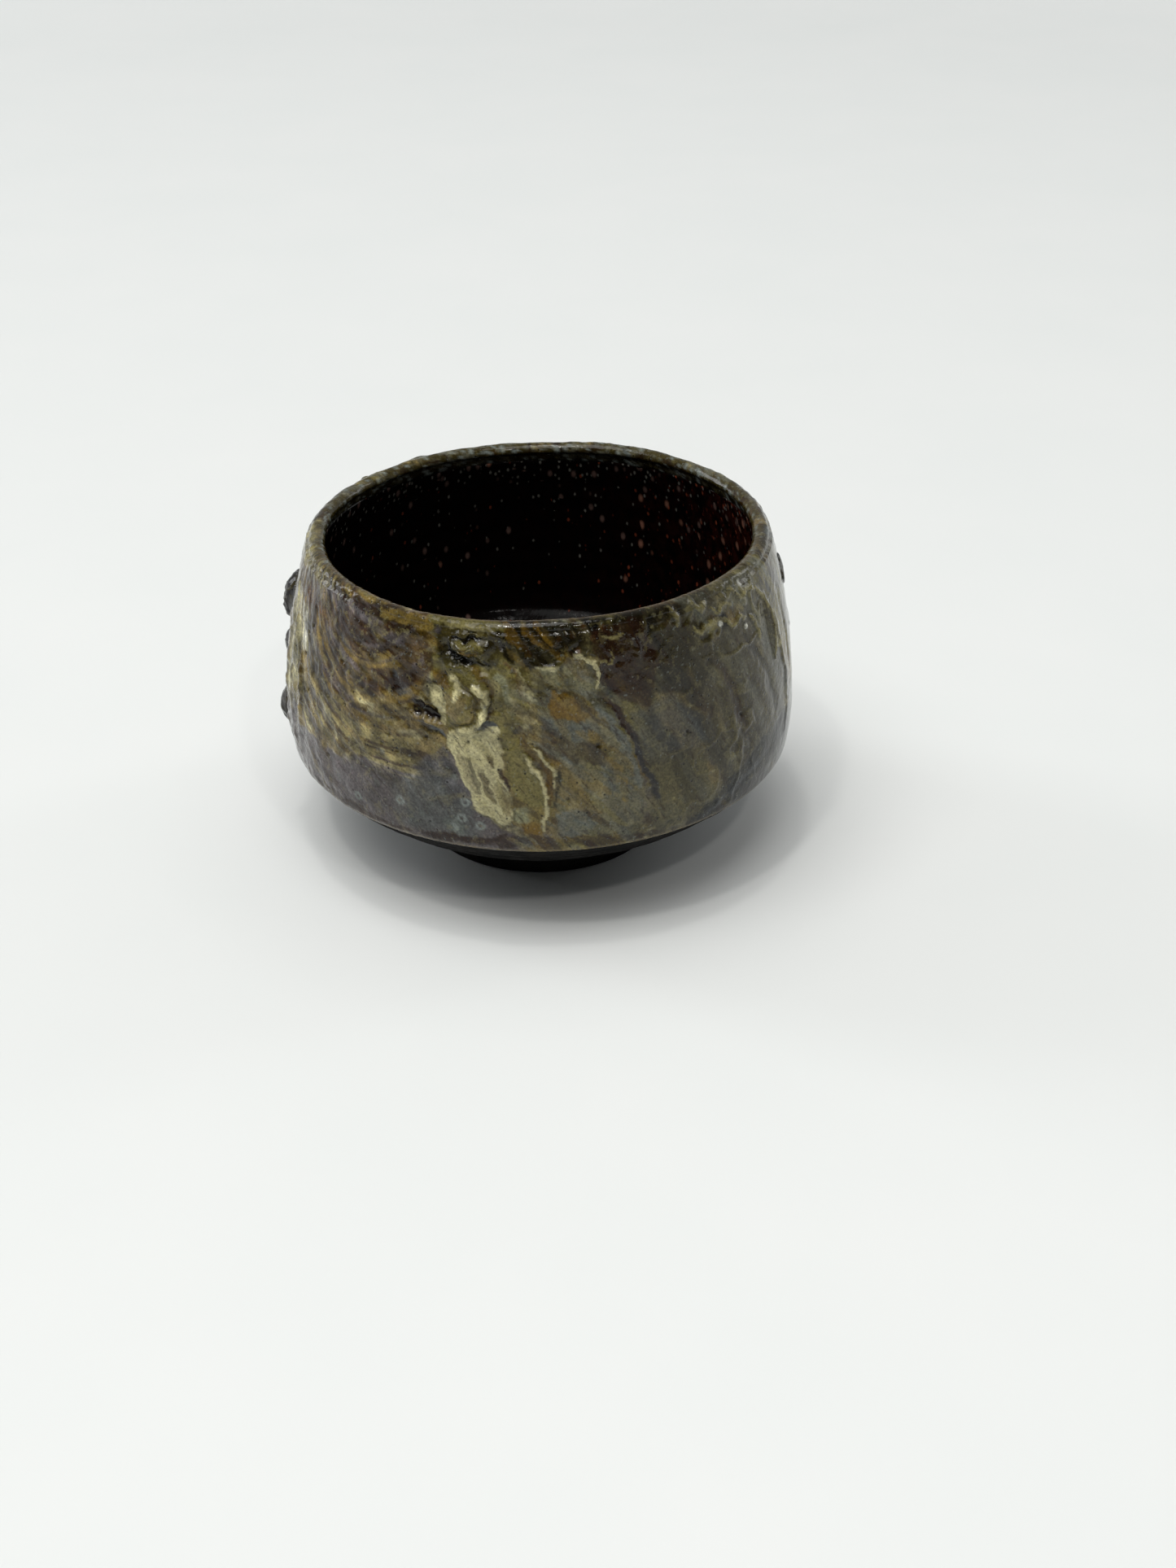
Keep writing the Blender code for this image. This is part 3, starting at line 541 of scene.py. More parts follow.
# The daubs: bearing, height, length, width, how proud, lean from upright, how steep their sides are.
DAUBS = {
    "rim_lump": (-16.6, 70.9, 10.5, 7.6, 1.5, 84, 1.0),
    "shell_boss": (-16.2, 59.2, 14.6, 11.6, 1.8, -35, 0.9),
    "slip_stroke": (-12.4, 42.6, 23.0, 9.6, 0.75, -27, 0.5),
    "hook_ridge": (11.0, 66.0, 10.0, 6.4, 0.5, 10, 0.8),
    "right_ridge": (65.8, 60.5, 19.0, 4.6, 0.7, -6, 1.6),
    "right_nub": (90.0, 63.6, 8.0, 4.6, 0.7, 4, 0.7),
    "left_fin": (-88.6, 31.5, 11.0, 7.4, 2.0, 12, 0.9),
    "left_lump_low": (-97.0, 44.0, 7.0, 6.0, 1.7, -8, 0.6),
    "left_lump_high": (-100.0, 54.6, 13.4, 8.4, 3.3, 8, 0.55),
    "rim_nub_left": (-129.0, 72.4, 8.4, 5.4, 1.2, 86, 0.7),
    "rim_nub_back": (-146.0, 73.0, 9.4, 5.6, 1.3, 90, 0.7),
}
CRAGGY = {"left_lump_high": 1.1, "left_lump_low": 0.7, "left_fin": 0.35, "right_nub": 0.4,
          "rim_nub_left": 0.4, "rim_nub_back": 0.4, "rim_lump": 0.45}


# ---------------------------------------------------------------- the bowl's form


def wall_radius(z):
    """Radius of the glazed wall, before any relief, at height z."""
    rise = np.clip((z - BELLY_HEIGHT) / (HEIGHT - BELLY_HEIGHT), 0, 1.2)
    drop = np.clip((BELLY_HEIGHT - z) / (BELLY_HEIGHT - EDGE_HEIGHT), 0, 1.2)
    shoulder = (BELLY_RADIUS - LIP_RADIUS) * rise**WALL_SWELL
    return BELLY_RADIUS - shoulder - (BELLY_RADIUS - EDGE_RADIUS) * drop**2


def well_radius(z):
    """Radius of the glazed inside above the belly."""
    share = (z - BELLY_HEIGHT) / (HEIGHT - BELLY_HEIGHT)
    return wall_radius(z) - BELLY_THICKNESS - (LIP_THICKNESS - BELLY_THICKNESS) * share


def normals_of(section):
    """Unit normals of a section that runs down its outer side, pointing out of the solid."""
    along = np.gradient(section, axis=0)
    along /= np.linalg.norm(along, axis=1, keepdims=True)
    return np.stack([-along[:, 1], along[:, 0]], axis=1)


def arc(centre, radius, start, end, count):
    """Points on an arc, with angles in degrees from the radial direction towards up."""
    angle = np.radians(np.linspace(start, end, count))
    return np.stack([centre[0] + radius * np.cos(angle), centre[1] + radius * np.sin(angle)], 1)


def coat_section():
    """The ash glaze's face, inside end first, over the lip and down to the rounded belly edge.

    Also gives each point's height on the flat map, which runs on past the lip as arc length.
    """
    half = LIP_THICKNESS / 2
    turn = np.linspace(HEIGHT - LIP_TURN, HEIGHT - half, TURN_ROWS, endpoint=False)
    inside = np.stack([well_radius(turn), turn], 1)
    lip = arc((LIP_RADIUS - half, HEIGHT - half), half, 180, 0, LIP_ROWS)
    heights = np.linspace(HEIGHT - half, EDGE_HEIGHT + 0.7, WALL_ROWS)[1:]
    wall = np.stack([wall_radius(heights), heights], 1)
    edge = arc((EDGE_RADIUS - EDGE_CORNER, EDGE_HEIGHT + 0.7), EDGE_CORNER, -8, -80, 5)
    section = np.concatenate([inside, lip, wall, edge])
    over = np.pi * half
    mapped = np.concatenate([
        HEIGHT - half + over + (HEIGHT - half - turn),
        np.linspace(HEIGHT - half + over, HEIGHT - half, LIP_ROWS),
        heights,
        edge[:, 1],
    ])
    return section, mapped


def thrown(bearing, radius, height):
    """Points in metres for a bearing, radius and height, with the potter's unevenness."""
    angle = np.radians(bearing)
    share = np.clip((height - EDGE_HEIGHT) / (HEIGHT - EDGE_HEIGHT), 0, 1)
    share = share * share * (3 - 2 * share)
    off_round = 1 + 0.0028 * np.sin(2 * angle + 0.6) + 0.0016 * np.sin(3 * angle + 2.2)
    radius = radius * np.where(height > FOOT_HEIGHT, off_round, 1)
    x, y = radius * np.sin(angle), -radius * np.cos(angle)
    wave = 0.22 * np.sin(3 * angle + 0.5) + 0.12 * np.sin(7 * angle + 1.4)
    z = height + (x * LIP_SLOPE[0] + y * LIP_SLOPE[1] + wave) * share
    return np.stack([x, y, z], axis=-1) * METRE


def flow_angle(bearing, mapped):
    """The bearing from which the glaze at each point has run: lines of equal value are its streaks.

    Streaks are shallow on the left of the front and steep elsewhere, as the bowl was brushed.
    """
    shallow = np.exp(-(((bearing + 48) / 26) ** 2))
    upright = np.exp(-(((bearing + 84) / 16) ** 2))
    lean = 0.62 + 1.3 * shallow - 0.5 * upright
    return bearing + lean * (mapped - 50)


def daub_plane(name, bearing, mapped):
    """Each point in a daub's own frame: along its length and across it, 1 at its outline."""
    at, height, length, width, _, lean, _ = DAUBS[name]
    turn = math.radians(lean)
    x = (bearing - at) * np.pi / 180 * wall_radius(np.array(height))
    y = mapped - height
    along = (x * math.sin(turn) + y * math.cos(turn)) / (length / 2)
    across = (x * math.cos(turn) - y * math.sin(turn)) / (width / 2)
    return along, across


def daub_height(name, bearing, mapped, points):
    """How far a daub lifts the wall at each point."""
    _, _, _, _, proud, _, steepness = DAUBS[name]
    along, across = daub_plane(name, bearing, mapped)
    reach = np.hypot(along, across)
    wobble = 0.3 * (cloud_noise(points, 2.6, 71) - 0.5)
    dome = np.clip(1 - (reach + wobble) ** 2, 0, 1) ** steepness
    crag = CRAGGY.get(name, 0) * (cloud_noise(points, 1.6, 83) - 0.5) * dome**0.5
    return proud * dome + crag * 1.4


def liveliness(bearing):
    """How blotched and rough the glaze is: most on the left and at the back, least on the right."""
    centre = ramp(bearing, -28, -18) * 0.45
    right = ramp(bearing, 8, 24) * 0.25
    return 1 - (centre + right) * (1 - ramp(bearing, 80, 110))


def relief(bearing, mapped):
    """Height of the glazed face over the plain wall, in millimetres."""
    points = noise_points(bearing, mapped)
    flowing = flow_points(bearing, mapped)
    wall = ramp(mapped, EDGE_HEIGHT, EDGE_HEIGHT + 3) * (1 - ramp(mapped, HEIGHT - 2, HEIGHT + 3))
    height = 0.6 * (cloud_noise(points, 13, 5) - 0.5) + 0.7 * (cloud_noise(points, 3.6, 9) - 0.5)
    height = height * (0.25 + 0.75 * wall)
    height += wall * ramp(mapped, 32, 44) * 0.55 * (cloud_noise(flowing, 2.6, 21, 4) - 0.5)
    height += 0.16 * (value_noise(points, 1.0, 33) - 0.5)
    height *= liveliness(bearing)
    height += 0.32 * wall * veins(bearing, mapped)
    for name in DAUBS:
        near = np.abs(bearing - DAUBS[name][0]) < 20
        height[near] += daub_height(name, bearing[near], mapped[near], points[near])
    sideways, upwards = wander(points)
    for rise, width, route in RELIEF + [(0.45, 0.6, route) for route in RIMS]:
        distance, along = line_distance(bearing + sideways, mapped + upwards, smooth_route(route))
        fade = np.sin(np.pi * np.clip(along, 0.06, 0.94)) ** 0.4
        height += 1.3 * rise * fade * np.exp(-((distance / width) ** 2))
    for at, z, radius in PITS + [(*hole, 0.5) for hole in PINHOLES]:
        distance = np.hypot(bearing - at, mapped - z) / abs(radius)
        height -= math.copysign(0.9, radius) * np.exp(-(distance**4)) * min(abs(radius), 1)
    return np.maximum(height, -DEEPEST)


def veins(bearing, mapped):
    """Thin meandering rims of crawled glaze, thickest at the upper right of the front. Where they are painted
    pale, that is partly a painted highlight on the rims.
    """
    points = noise_points(bearing, mapped)
    edge = np.abs(cloud_noise(points, 6, 171, 2) - 0.5)
    right = np.exp(-(((bearing - 48) / 18) ** 2)) * ramp(mapped, 58, 66)
    patchy = ramp(cloud_noise(points, 14, 182), 0.5, 0.62) * 0.6
    return (1 - ramp(edge, 0.012, 0.05)) * np.clip(right + patchy, 0, 1)


def wander(points):
    """How far a drawn line or edge strays at each point: sideways in degrees, and upwards in millimetres."""
    sideways = 3.0 * (cloud_noise(points, 3.6, 124, 4) - 0.5) + 0.6 * (value_noise(points, 0.9, 125) - 0.5)
    upwards = 3.0 * (cloud_noise(points, 3.6, 135, 4) - 0.5) + 0.6 * (value_noise(points, 0.9, 136) - 0.5)
    return sideways, upwards


def noise_points(bearing, mapped):
    """Places on a round wall for noise that has no seam at the back."""
    angle = np.radians(bearing)
    return np.stack([57 * np.sin(angle), -57 * np.cos(angle), mapped], axis=-1)


def flow_points(bearing, mapped):
    """The same, stretched along the glaze's streaks."""
    angle = np.radians(flow_angle(bearing, mapped))
    return np.stack([57 * np.sin(angle), -57 * np.cos(angle), mapped * 0.32], axis=-1)


# ---------------------------------------------------------------- painting the glaze


def blend_in(colour, name, share):
    """colour with a palette colour laid over it."""
    share = np.clip(share, 0, 1)[:, None]
    return colour * (1 - share) + pigment(name) * share


def base_glaze(bearing, mapped):
    """The glaze all round: patches and runs of the same few colours, slate low on the wall."""
    points = noise_points(bearing, mapped)
    flowing = flow_points(bearing, mapped)
    colour = np.tile(pigment("moss"), (len(bearing), 1))
    colour = blend_in(colour, "mauve", ramp(cloud_noise(points, 17, 3), 0.46, 0.56))
    colour = blend_in(colour, "olive", ramp(cloud_noise(flowing, 9, 14), 0.52, 0.6) * 0.8)
    colour = blend_in(colour, "tan", ramp(cloud_noise(flowing, 6, 25), 0.56, 0.64) * 0.8)
    low = ramp(44 + 12 * (cloud_noise(points, 12, 36) - 0.5) - mapped, 0, 4)
    colour = blend_in(colour, "slate", low * ramp(cloud_noise(points, 24, 47), 0.38, 0.5))
    burnt = cloud_noise(points, 8, 58) + (mapped - 66) * 0.012
    colour = blend_in(colour, "dark_olive", ramp(burnt, 0.56, 0.66))
    colour = blend_in(colour, "straw", ramp(cloud_noise(flowing, 5, 69, 5), 0.58, 0.66) * 0.6)
    colour = blend_in(colour, "cream", ramp(cloud_noise(points, 4, 74, 5), 0.64, 0.7) * 0.55)
    colour = blend_in(colour, "amber", ramp(cloud_noise(flowing, 4, 80), 0.66, 0.73) * 0.7)
    return blend_in(colour, "blue_grey", ramp(cloud_noise(flowing, 4.5, 91), 0.64, 0.72) * 0.6)


def lip_glaze(colour, bearing, mapped):
    """The lip: a thin brown line at the front, dark and frosted at the back, black inside."""
    points = noise_points(bearing, mapped)
    patchy = cloud_noise(points, 2.4, 102)
    front = np.exp(-((bearing / 75) ** 2))
    on_lip = ramp(mapped, HEIGHT - 0.4 + front, HEIGHT + 1.2 + front)
    below_lip = ramp(mapped, HEIGHT - 5, HEIGHT) * (0.75 - 0.5 * front)
    colour = blend_in(colour, "dark_olive", below_lip * ramp(patchy, 0.4, 0.56))
    colour = blend_in(colour, "lip", on_lip * (0.15 + 0.75 * front))
    colour = blend_in(colour, "moss", on_lip * ramp(patchy, 0.4, 0.5) * (1 - 0.9 * front))
    frost = ramp(cloud_noise(points, 1.6, 113), 0.56, 0.64)
    colour = blend_in(colour, "grey", on_lip * frost * (0.9 - 0.7 * front))
    bloom = ramp(cloud_noise(points, 1.1, 119), 0.64, 0.7)
    inside = ramp(mapped + 2 * patchy, HEIGHT + 3, HEIGHT + 6)
    colour = blend_in(colour, "dark_olive", inside * 0.8 * (1 - 0.5 * frost))
    colour = blend_in(colour, "black", ramp(mapped + 2.4 * patchy, HEIGHT + 6, HEIGHT + 8.6))
    return blend_in(colour, "sky", on_lip * bloom * (0.75 - 0.4 * front))


def mottle(bearing, mapped):
    """How much lighter or darker the glaze is where it lies thin or has pooled."""
    points = noise_points(bearing, mapped)
    flowing = flow_points(bearing, mapped)
    blotchy = 3.2 * (cloud_noise(points, 2.6, 160, 4) - 0.5)
    streaky = 1.4 * (cloud_noise(flowing, 2.6, 21, 4) - 0.5) + 0.6 * (cloud_noise(flowing, 0.9, 163) - 0.5)
    above = ramp(mapped, 34, 42)
    pooled = 0.04 + 0.16 * above * ramp(bearing, -12, 0) * (1 - ramp(bearing, 60, 90))
    return np.exp((blotchy * (0.4 + 0.6 * above) + streaky * above) * liveliness(bearing) - pooled)


def veiled(colour, bearing, mapped):
    """What drifted over the painted glaze: brown and lilac on the left, dark runs on the right."""
    points = noise_points(bearing, mapped)
    flowing = flow_points(bearing, mapped)
    smeared = flow_points(bearing, mapped * 1.8)
    left = (1 - ramp(bearing, -30, -24)) * ramp(bearing, -90, -66) * ramp(mapped, 37, 42)
    upper = left * ramp(mapped, 47, 54)
    colour = blend_in(colour, "umber", left * ramp(cloud_noise(smeared, 6.4, 191, 4), 0.48, 0.58) * 0.75)
    colour = blend_in(colour, "lilac", upper * ramp(cloud_noise(smeared, 5.0, 202, 4), 0.54, 0.62) * 0.5)
    colour = blend_in(colour, "plum", upper * ramp(cloud_noise(flowing, 3.0, 213, 4), 0.58, 0.66) * 0.6)
    colour = blend_in(colour, "gold", upper * ramp(cloud_noise(smeared, 6.0, 219, 4), 0.58, 0.66) * 0.6)
    field = (left - upper) * ramp(cloud_noise(smeared, 2.6, 224, 4), 0.54, 0.59)
    colour = blend_in(colour, "straw", field * 0.5)
    middle = ramp(bearing, -10, -4) * (1 - ramp(bearing, 16, 26)) * (1 - ramp(mapped, 64, 68)) * 0.85
    drifts = {"olive": 0.6, "gold": 0.5, "blue_grey": 0.45, "umber": 0.6}
    for number, (name, share) in enumerate(drifts.items()):
        spread = cloud_noise(flow_points(bearing, mapped * 1.6), 2.8, 260 + 9 * number, 4)
        colour = blend_in(colour, name, middle * ramp(spread, 0.55, 0.6) * share)
    right = ramp(bearing, 18, 30) * (1 - ramp(bearing, 84, 100))
    runs = ramp(cloud_noise(flow_points(bearing, mapped * 0.5), 4.6, 235, 4), 0.5, 0.62)
    colour = blend_in(colour, "dark_olive", right * runs * 0.42)
    return blend_in(colour, "grey", right * ramp(cloud_noise(flowing, 3.2, 246, 4), 0.56, 0.64) * 0.4)


def lay_down(colour, layers, bearing, mapped):
    """Lays painted layers over a colour, with wandering edges and uneven cover."""
    bend_x, bend_y = wander(noise_points(bearing, mapped))
    grain = cloud_noise(flow_points(bearing, mapped), 1.4, 146)
    for layer in layers:
        xs = [p[0] for p in layer["at"]]
        near = (bearing > min(xs) - 5) & (bearing < max(xs) + 5)
        x, y = bearing[near], mapped[near]
        if layer["kind"] in ("area", "line"):
            x, y = x + bend_x[near], y + bend_y[near]
        share = cover(layer, x, y) * layer["opacity"]
        if layer["kind"] in ("area", "line"):
            share = share * (0.55 + 0.9 * grain[near])
        colour[near] = blend_in(colour[near], layer["colour"], share)
    return colour


def painted(bearing, mapped):
    """The glaze's colour at each point of the flat map."""
    colour = lay_down(base_glaze(bearing, mapped), GLAZE, bearing, mapped)
    colour = veiled(colour, bearing, mapped) * mottle(bearing, mapped)[:, None]
    # pale veins: crawled glaze, partly a painted highlight on its rims
    colour = blend_in(colour, "straw", veins(bearing, mapped) * 0.3)
    colour = lay_down(colour, LAST_RUNS, bearing, mapped)
    # pale rims: partly a painted highlight along their ridges
    colour = lay_down(colour, [line("straw", 0.6, 0.55, *route) for route in RIMS], bearing, mapped)
    colour = lip_glaze(colour, bearing, mapped)
    # a pale gold line along the belly's edge: glaze thinned on the edge, and a painted glint there
    edge = np.exp(-(((mapped - EDGE_HEIGHT - 0.45) / 0.4) ** 2))
    return blend_in(colour, "gold", edge * 0.35)


def speckled(bearing, mapped):
    """How thick the pale flecks and the pinholes lie at each point."""
    points = noise_points(bearing, mapped)
    left = np.exp(-(((bearing + 46) / 22) ** 2)) * ramp(mapped, 36, 44)
    pale = 0.35 + 0.5 * left + 0.5 * (cloud_noise(points, 9, 157) - 0.5)
    holes = 0.3 + 0.6 * left
    return np.clip(pale, 0, 1), np.clip(holes, 0, 1)


# ---------------------------------------------------------------- meshes


def fill_mesh(name, points, faces):
    """A smooth-shaded mesh object from an array of points and an array of quads."""
    mesh = bpy.data.meshes.new(name)
    mesh.from_pydata(points.tolist(), [], faces.tolist() if hasattr(faces, "tolist") else faces)
    mesh.shade_smooth()
    made = bpy.data.objects.new(name, mesh)
    bpy.context.scene.collection.objects.link(made)
    return made


def ring_faces(rows, columns, closed):
    """Quads of a grid that closes on itself round the bowl, and along the section if closed."""
    upper = np.arange(rows if closed else rows - 1)
    i, j = np.meshgrid(upper, np.arange(columns), indexing="ij")
    below, beside = (i + 1) % rows, (j + 1) % columns
    quads = [i * columns + j, below * columns + j, below * columns + beside, i * columns + beside]
    return np.stack(quads, axis=-1).reshape(-1, 4)


STORED_AS = {"FLOAT": "value", "FLOAT_VECTOR": "vector", "FLOAT_COLOR": "color"}


def add_values(made, name, kind, values):
    """Stores one number, vector or colour for each vertex."""
    data = made.data.attributes.new(name, kind, "POINT").data
    data.foreach_set(STORED_AS[kind], values.astype(np.float32).ravel())


def dress(made, bearing, mapped):
    """Gives a glazed mesh the values that its material reads."""
    pale, holes = speckled(bearing, mapped)
    opaque = np.ones((len(bearing), 1))
    add_values(made, "paint", "FLOAT_COLOR", np.concatenate([painted(bearing, mapped), opaque], axis=1))
    add_values(made, "flow", "FLOAT_VECTOR", flow_points(bearing, mapped) * METRE)
    add_values(made, "pale", "FLOAT", pale)
    add_values(made, "holes", "FLOAT", holes)


def coat_bearings():
    """Bearings of the coat's columns, closer together at the front."""
    front = np.linspace(-FRONT_BEARING, FRONT_BEARING, FRONT_COLUMNS, endpoint=False)
    back = np.linspace(FRONT_BEARING, 360 - FRONT_BEARING, BACK_COLUMNS, endpoint=False)
    return np.concatenate([front, np.where(back > 180, back - 360, back)])


def make_outer_coat():
    """The ash glaze: its relief-covered face, and a plain back against the clay."""
    section, mapped = coat_section()
    normals = normals_of(section)
    bearings = coat_bearings()
    rows, columns = len(section), len(bearings)
    bearing = np.tile(bearings, rows)
    height_on_map = np.repeat(mapped, columns)
    lift = relief(bearing, height_on_map)
    fade = ramp(np.arange(rows), 0, 3) * ramp(rows - 1 - np.arange(rows), 0, 3)
    tuck = TUCK * (1 - ramp(np.arange(rows), 0, 4))
    lift = lift * np.repeat(fade, columns) - np.repeat(tuck, columns)
    radius = np.repeat(section[:, 0], columns) + lift * np.repeat(normals[:, 0], columns)
    height = np.repeat(section[:, 1], columns) + lift * np.repeat(normals[:, 1], columns)
    face = thrown(bearing, radius, height)

    keep = np.linspace(rows - 1, 0, 22).astype(int)
    back = section[keep] - normals[keep] * COAT
    back_radius, back_height = (np.repeat(values, columns) for values in back.T)
    behind = thrown(np.tile(bearings, len(keep)), back_radius, back_height)
    faces = ring_faces(rows + len(keep), columns, closed=True)
    made = fill_mesh("ash_glaze_coat", np.concatenate([face, behind]), faces)
    hidden = np.repeat(mapped[keep], columns)
    all_bearings = np.concatenate([bearing, np.tile(bearings, len(keep))])
    dress(made, all_bearings, np.concatenate([height_on_map, hidden]))
    return made


def daub_faces(rings, spokes):
    """Faces of a disc of rings round a last vertex, of the same disc behind it, and of their side."""
    last = rings * spokes
    behind = last + 1
    quads = np.roll(ring_faces(rings, spokes, closed=False)[:, ::-1], 1, axis=1)
    fan = [(last, (spoke + 1) % spokes, spoke) for spoke in range(spokes)]
    faces = quads.tolist() + fan
    back = [[behind + corner for corner in reversed(face)] for face in faces]
    rim = [(rings - 1) * spokes + spoke for spoke in range(spokes)]
    side = [(a, b, behind + b, behind + a) for a, b in zip(rim, rim[1:] + rim[:1])]
    return faces + back + side


def make_daub(name):
    """One daub: a raised patch that sinks into the glaze round its outline, closed underneath."""
    at, middle, length, width, _, lean, _ = DAUBS[name]
    rings, spokes = 26, 96
    reach = np.repeat(np.linspace(0, 1, rings + 1)[1:], spokes)
    turn = np.tile(np.linspace(0, 2 * np.pi, spokes, endpoint=False), rings)
    ragged = 1 + 0.05 * np.sin(3 * turn + at) + 0.04 * np.sin(5 * turn + middle)
    along = reach * np.cos(turn) * length / 2 * ragged
    across = reach * np.sin(turn) * width / 2 * ragged
    lean = math.radians(lean)
    sideways = along * math.sin(lean) + across * math.cos(lean)
    mapped = middle + along * math.cos(lean) - across * math.sin(lean)
    bearing = at + np.degrees(sideways / wall_radius(np.array(middle)))
    bearing, mapped = np.append(bearing, at), np.append(mapped, middle)
    reach = np.append(reach, 0)
    mapped = np.minimum(mapped, HEIGHT - LIP_THICKNESS / 2)
    lift = relief(bearing, mapped) + 0.07 - 0.5 * ramp(reach, 0.84, 1.0)
    face = thrown(bearing, wall_radius(mapped) + lift, mapped)
    under = thrown(bearing, wall_radius(mapped) - 0.75, mapped)

    made = fill_mesh(name + "_glazed", np.concatenate([face, under]), daub_faces(rings, spokes))
    dress(made, np.tile(bearing, 2), np.tile(mapped, 2))
    point_outwards(made)
    return made


def point_outwards(made):
    """Turns a closed mesh's faces outwards if its volume comes out negative."""
    mesh = made.data
    mesh.calc_loop_triangles()
    corners = np.empty(len(mesh.loop_triangles) * 3, int)
    mesh.loop_triangles.foreach_get("vertices", corners)
    points = np.empty(len(mesh.vertices) * 3)
    mesh.vertices.foreach_get("co", points)
    a, b, c = points.reshape(-1, 3)[corners.reshape(-1, 3)].transpose(1, 0, 2)
    if np.einsum("ij,ij->", a, np.cross(b, c)) < 0:
        mesh.flip_normals()


def turned_points(bearing, radius, height):
    """Places on a turned solid, for noise."""
    angle = np.radians(bearing)
    return np.stack([radius * np.sin(angle), radius * np.cos(angle), height], axis=1)


def turned_solid(name, section, lift, closed=True):
    """A solid turned from a section. lift(bearing, radius, height) moves its face along the normal.

    A closed section goes round a ring; an open one starts and ends on the axis. Also gives the
    bearing, radius and height of each vertex before it is moved.
    """
    columns = PLAIN_COLUMNS
    normals = normals_of(section)
    rows = len(section)
    bearings = np.linspace(-180, 180, columns, endpoint=False)
    bearing = np.tile(bearings, rows)
    radius, height = np.repeat(section[:, 0], columns), np.repeat(section[:, 1], columns)
    moved = lift(bearing, radius, height)
    points = thrown(
        bearing,
        radius + moved * np.repeat(normals[:, 0], columns),
        height + moved * np.repeat(normals[:, 1], columns),
    )
    faces = ring_faces(rows, columns, closed)
    if closed:
        return fill_mesh(name, points, faces), bearing, radius, height
    top, bottom = len(points), len(points) + 1
    ends = thrown(np.zeros(2), np.zeros(2), section[[0, -1], 1])
    first = [(top, j, (j + 1) % columns) for j in range(columns)]
    base = (rows - 1) * columns
    last = [(bottom, base + (j + 1) % columns, base + j) for j in range(columns)]
    made = fill_mesh(name, np.concatenate([points, ends]), faces.tolist() + first + last)
    bearing = np.append(bearing, [0, 0])
    radius = np.append(radius, [0, 0])
    return made, bearing, radius, np.append(height, section[[0, -1], 1])


def well_section(rows):
    """The iron glaze's face from near the axis, out and up to where the ash glaze begins."""
    brim = well_radius(np.array(BELLY_HEIGHT))
    angle = np.linspace(0.012, math.pi / 2, rows)
    radius = brim * np.sin(angle)
    pool = POOL_DEPTH * np.clip(1 - (radius / POOL_RADIUS) ** 2, 0, 1) ** 1.5
    floor = BELLY_HEIGHT - (BELLY_HEIGHT - FLOOR_HEIGHT) * np.cos(angle) - pool
    heights = np.linspace(BELLY_HEIGHT, HEIGHT - LIP_TURN + OVERLAP, rows)[1:]
    wall = np.stack([well_radius(heights), heights], 1)
    return np.concatenate([np.stack([radius, floor], 1), wall])


def make_inner_coat():
    """The iron glaze in the well, with faint throwing rings."""
    face = well_section(46)
    normals = normals_of(face)
    keep = np.linspace(len(face) - 1, 0, 24).astype(int)
    section = np.concatenate([face, (face - normals * COAT)[keep]])
    visible = len(face)

    def lift(bearing, radius, height):
        points = turned_points(bearing, radius, height)
        spiral = np.sin((radius + height) * 1.1 - np.radians(bearing))
        waves = 0.5 * (cloud_noise(points, 12, 7) - 0.5)
        move = 0.1 * spiral + waves + 0.16 * (cloud_noise(points, 2.2, 8) - 0.5)
        shown = np.arange(len(bearing)) < visible * PLAIN_COLUMNS
        return np.where(shown, move, 0) * ramp(radius, 0.5, 6)

    made, bearing, radius, height = turned_solid("iron_glaze_coat", section, lift, closed=False)
    # rust laid thickest high on the right inner wall, where the light falls: partly rust, partly painted
    # light
    right = np.exp(-(((bearing - 98) / 40) ** 2))
    left = np.exp(-(((bearing + 100) / 40) ** 2)) + np.exp(-(((np.abs(bearing) - 165) / 50) ** 2))
    upper = ramp(height, 30, 66)
    add_values(made, "rust", "FLOAT", np.clip(0.05 + right * (0.5 + 0.5 * upper), 0, 1))
    frost = 0.03 + left * upper * 0.25 + ramp(height, 62, 71) * 0.8
    add_values(made, "frost", "FLOAT", np.clip(frost, 0, 1))
    return made


def make_body():
    """The clay body. Only its trimmed underside shows, between the belly's edge and the foot."""
    coat, _ = coat_section()
    top = coat[: TURN_ROWS + LIP_ROWS + WALL_ROWS : 6]
    well = well_section(20)[:-1]
    glazed = np.concatenate([well, top])
    glazed = glazed - normals_of(glazed) * CLAY_DEPTH
    start = np.array([EDGE_RADIUS - 0.55, EDGE_HEIGHT - 0.12])
    end = np.array([FOOT_TOP_RADIUS + 0.5, FOOT_HEIGHT + 0.15])
    share = np.linspace(0, 1, 60)[:, None]
    under = start + (end - start) * share + 1.6 * np.sin(np.pi * share) * np.array([0.5, -1])
    section = np.concatenate([glazed, under, [[2.0, end[1]]]])
    first_under = len(glazed)

    def lift(bearing, radius, height):
        row = np.arange(len(bearing)) // PLAIN_COLUMNS
        points = turned_points(bearing, radius, height)
        rings = 0.12 * np.sin(radius * 2.6 + 1.2 * cloud_noise(points, 18, 12))
        move = rings + 0.3 * (cloud_noise(points, 6, 13) - 0.5) + 0.14 * (cloud_noise(points, 1.4, 15) - 0.5)
        edge = ramp(row - first_under, 0, 4) * ramp(len(section) - 2 - row, 0, 2)
        return move * edge

    return turned_solid("thrown_body", section, lift, closed=False)[0]


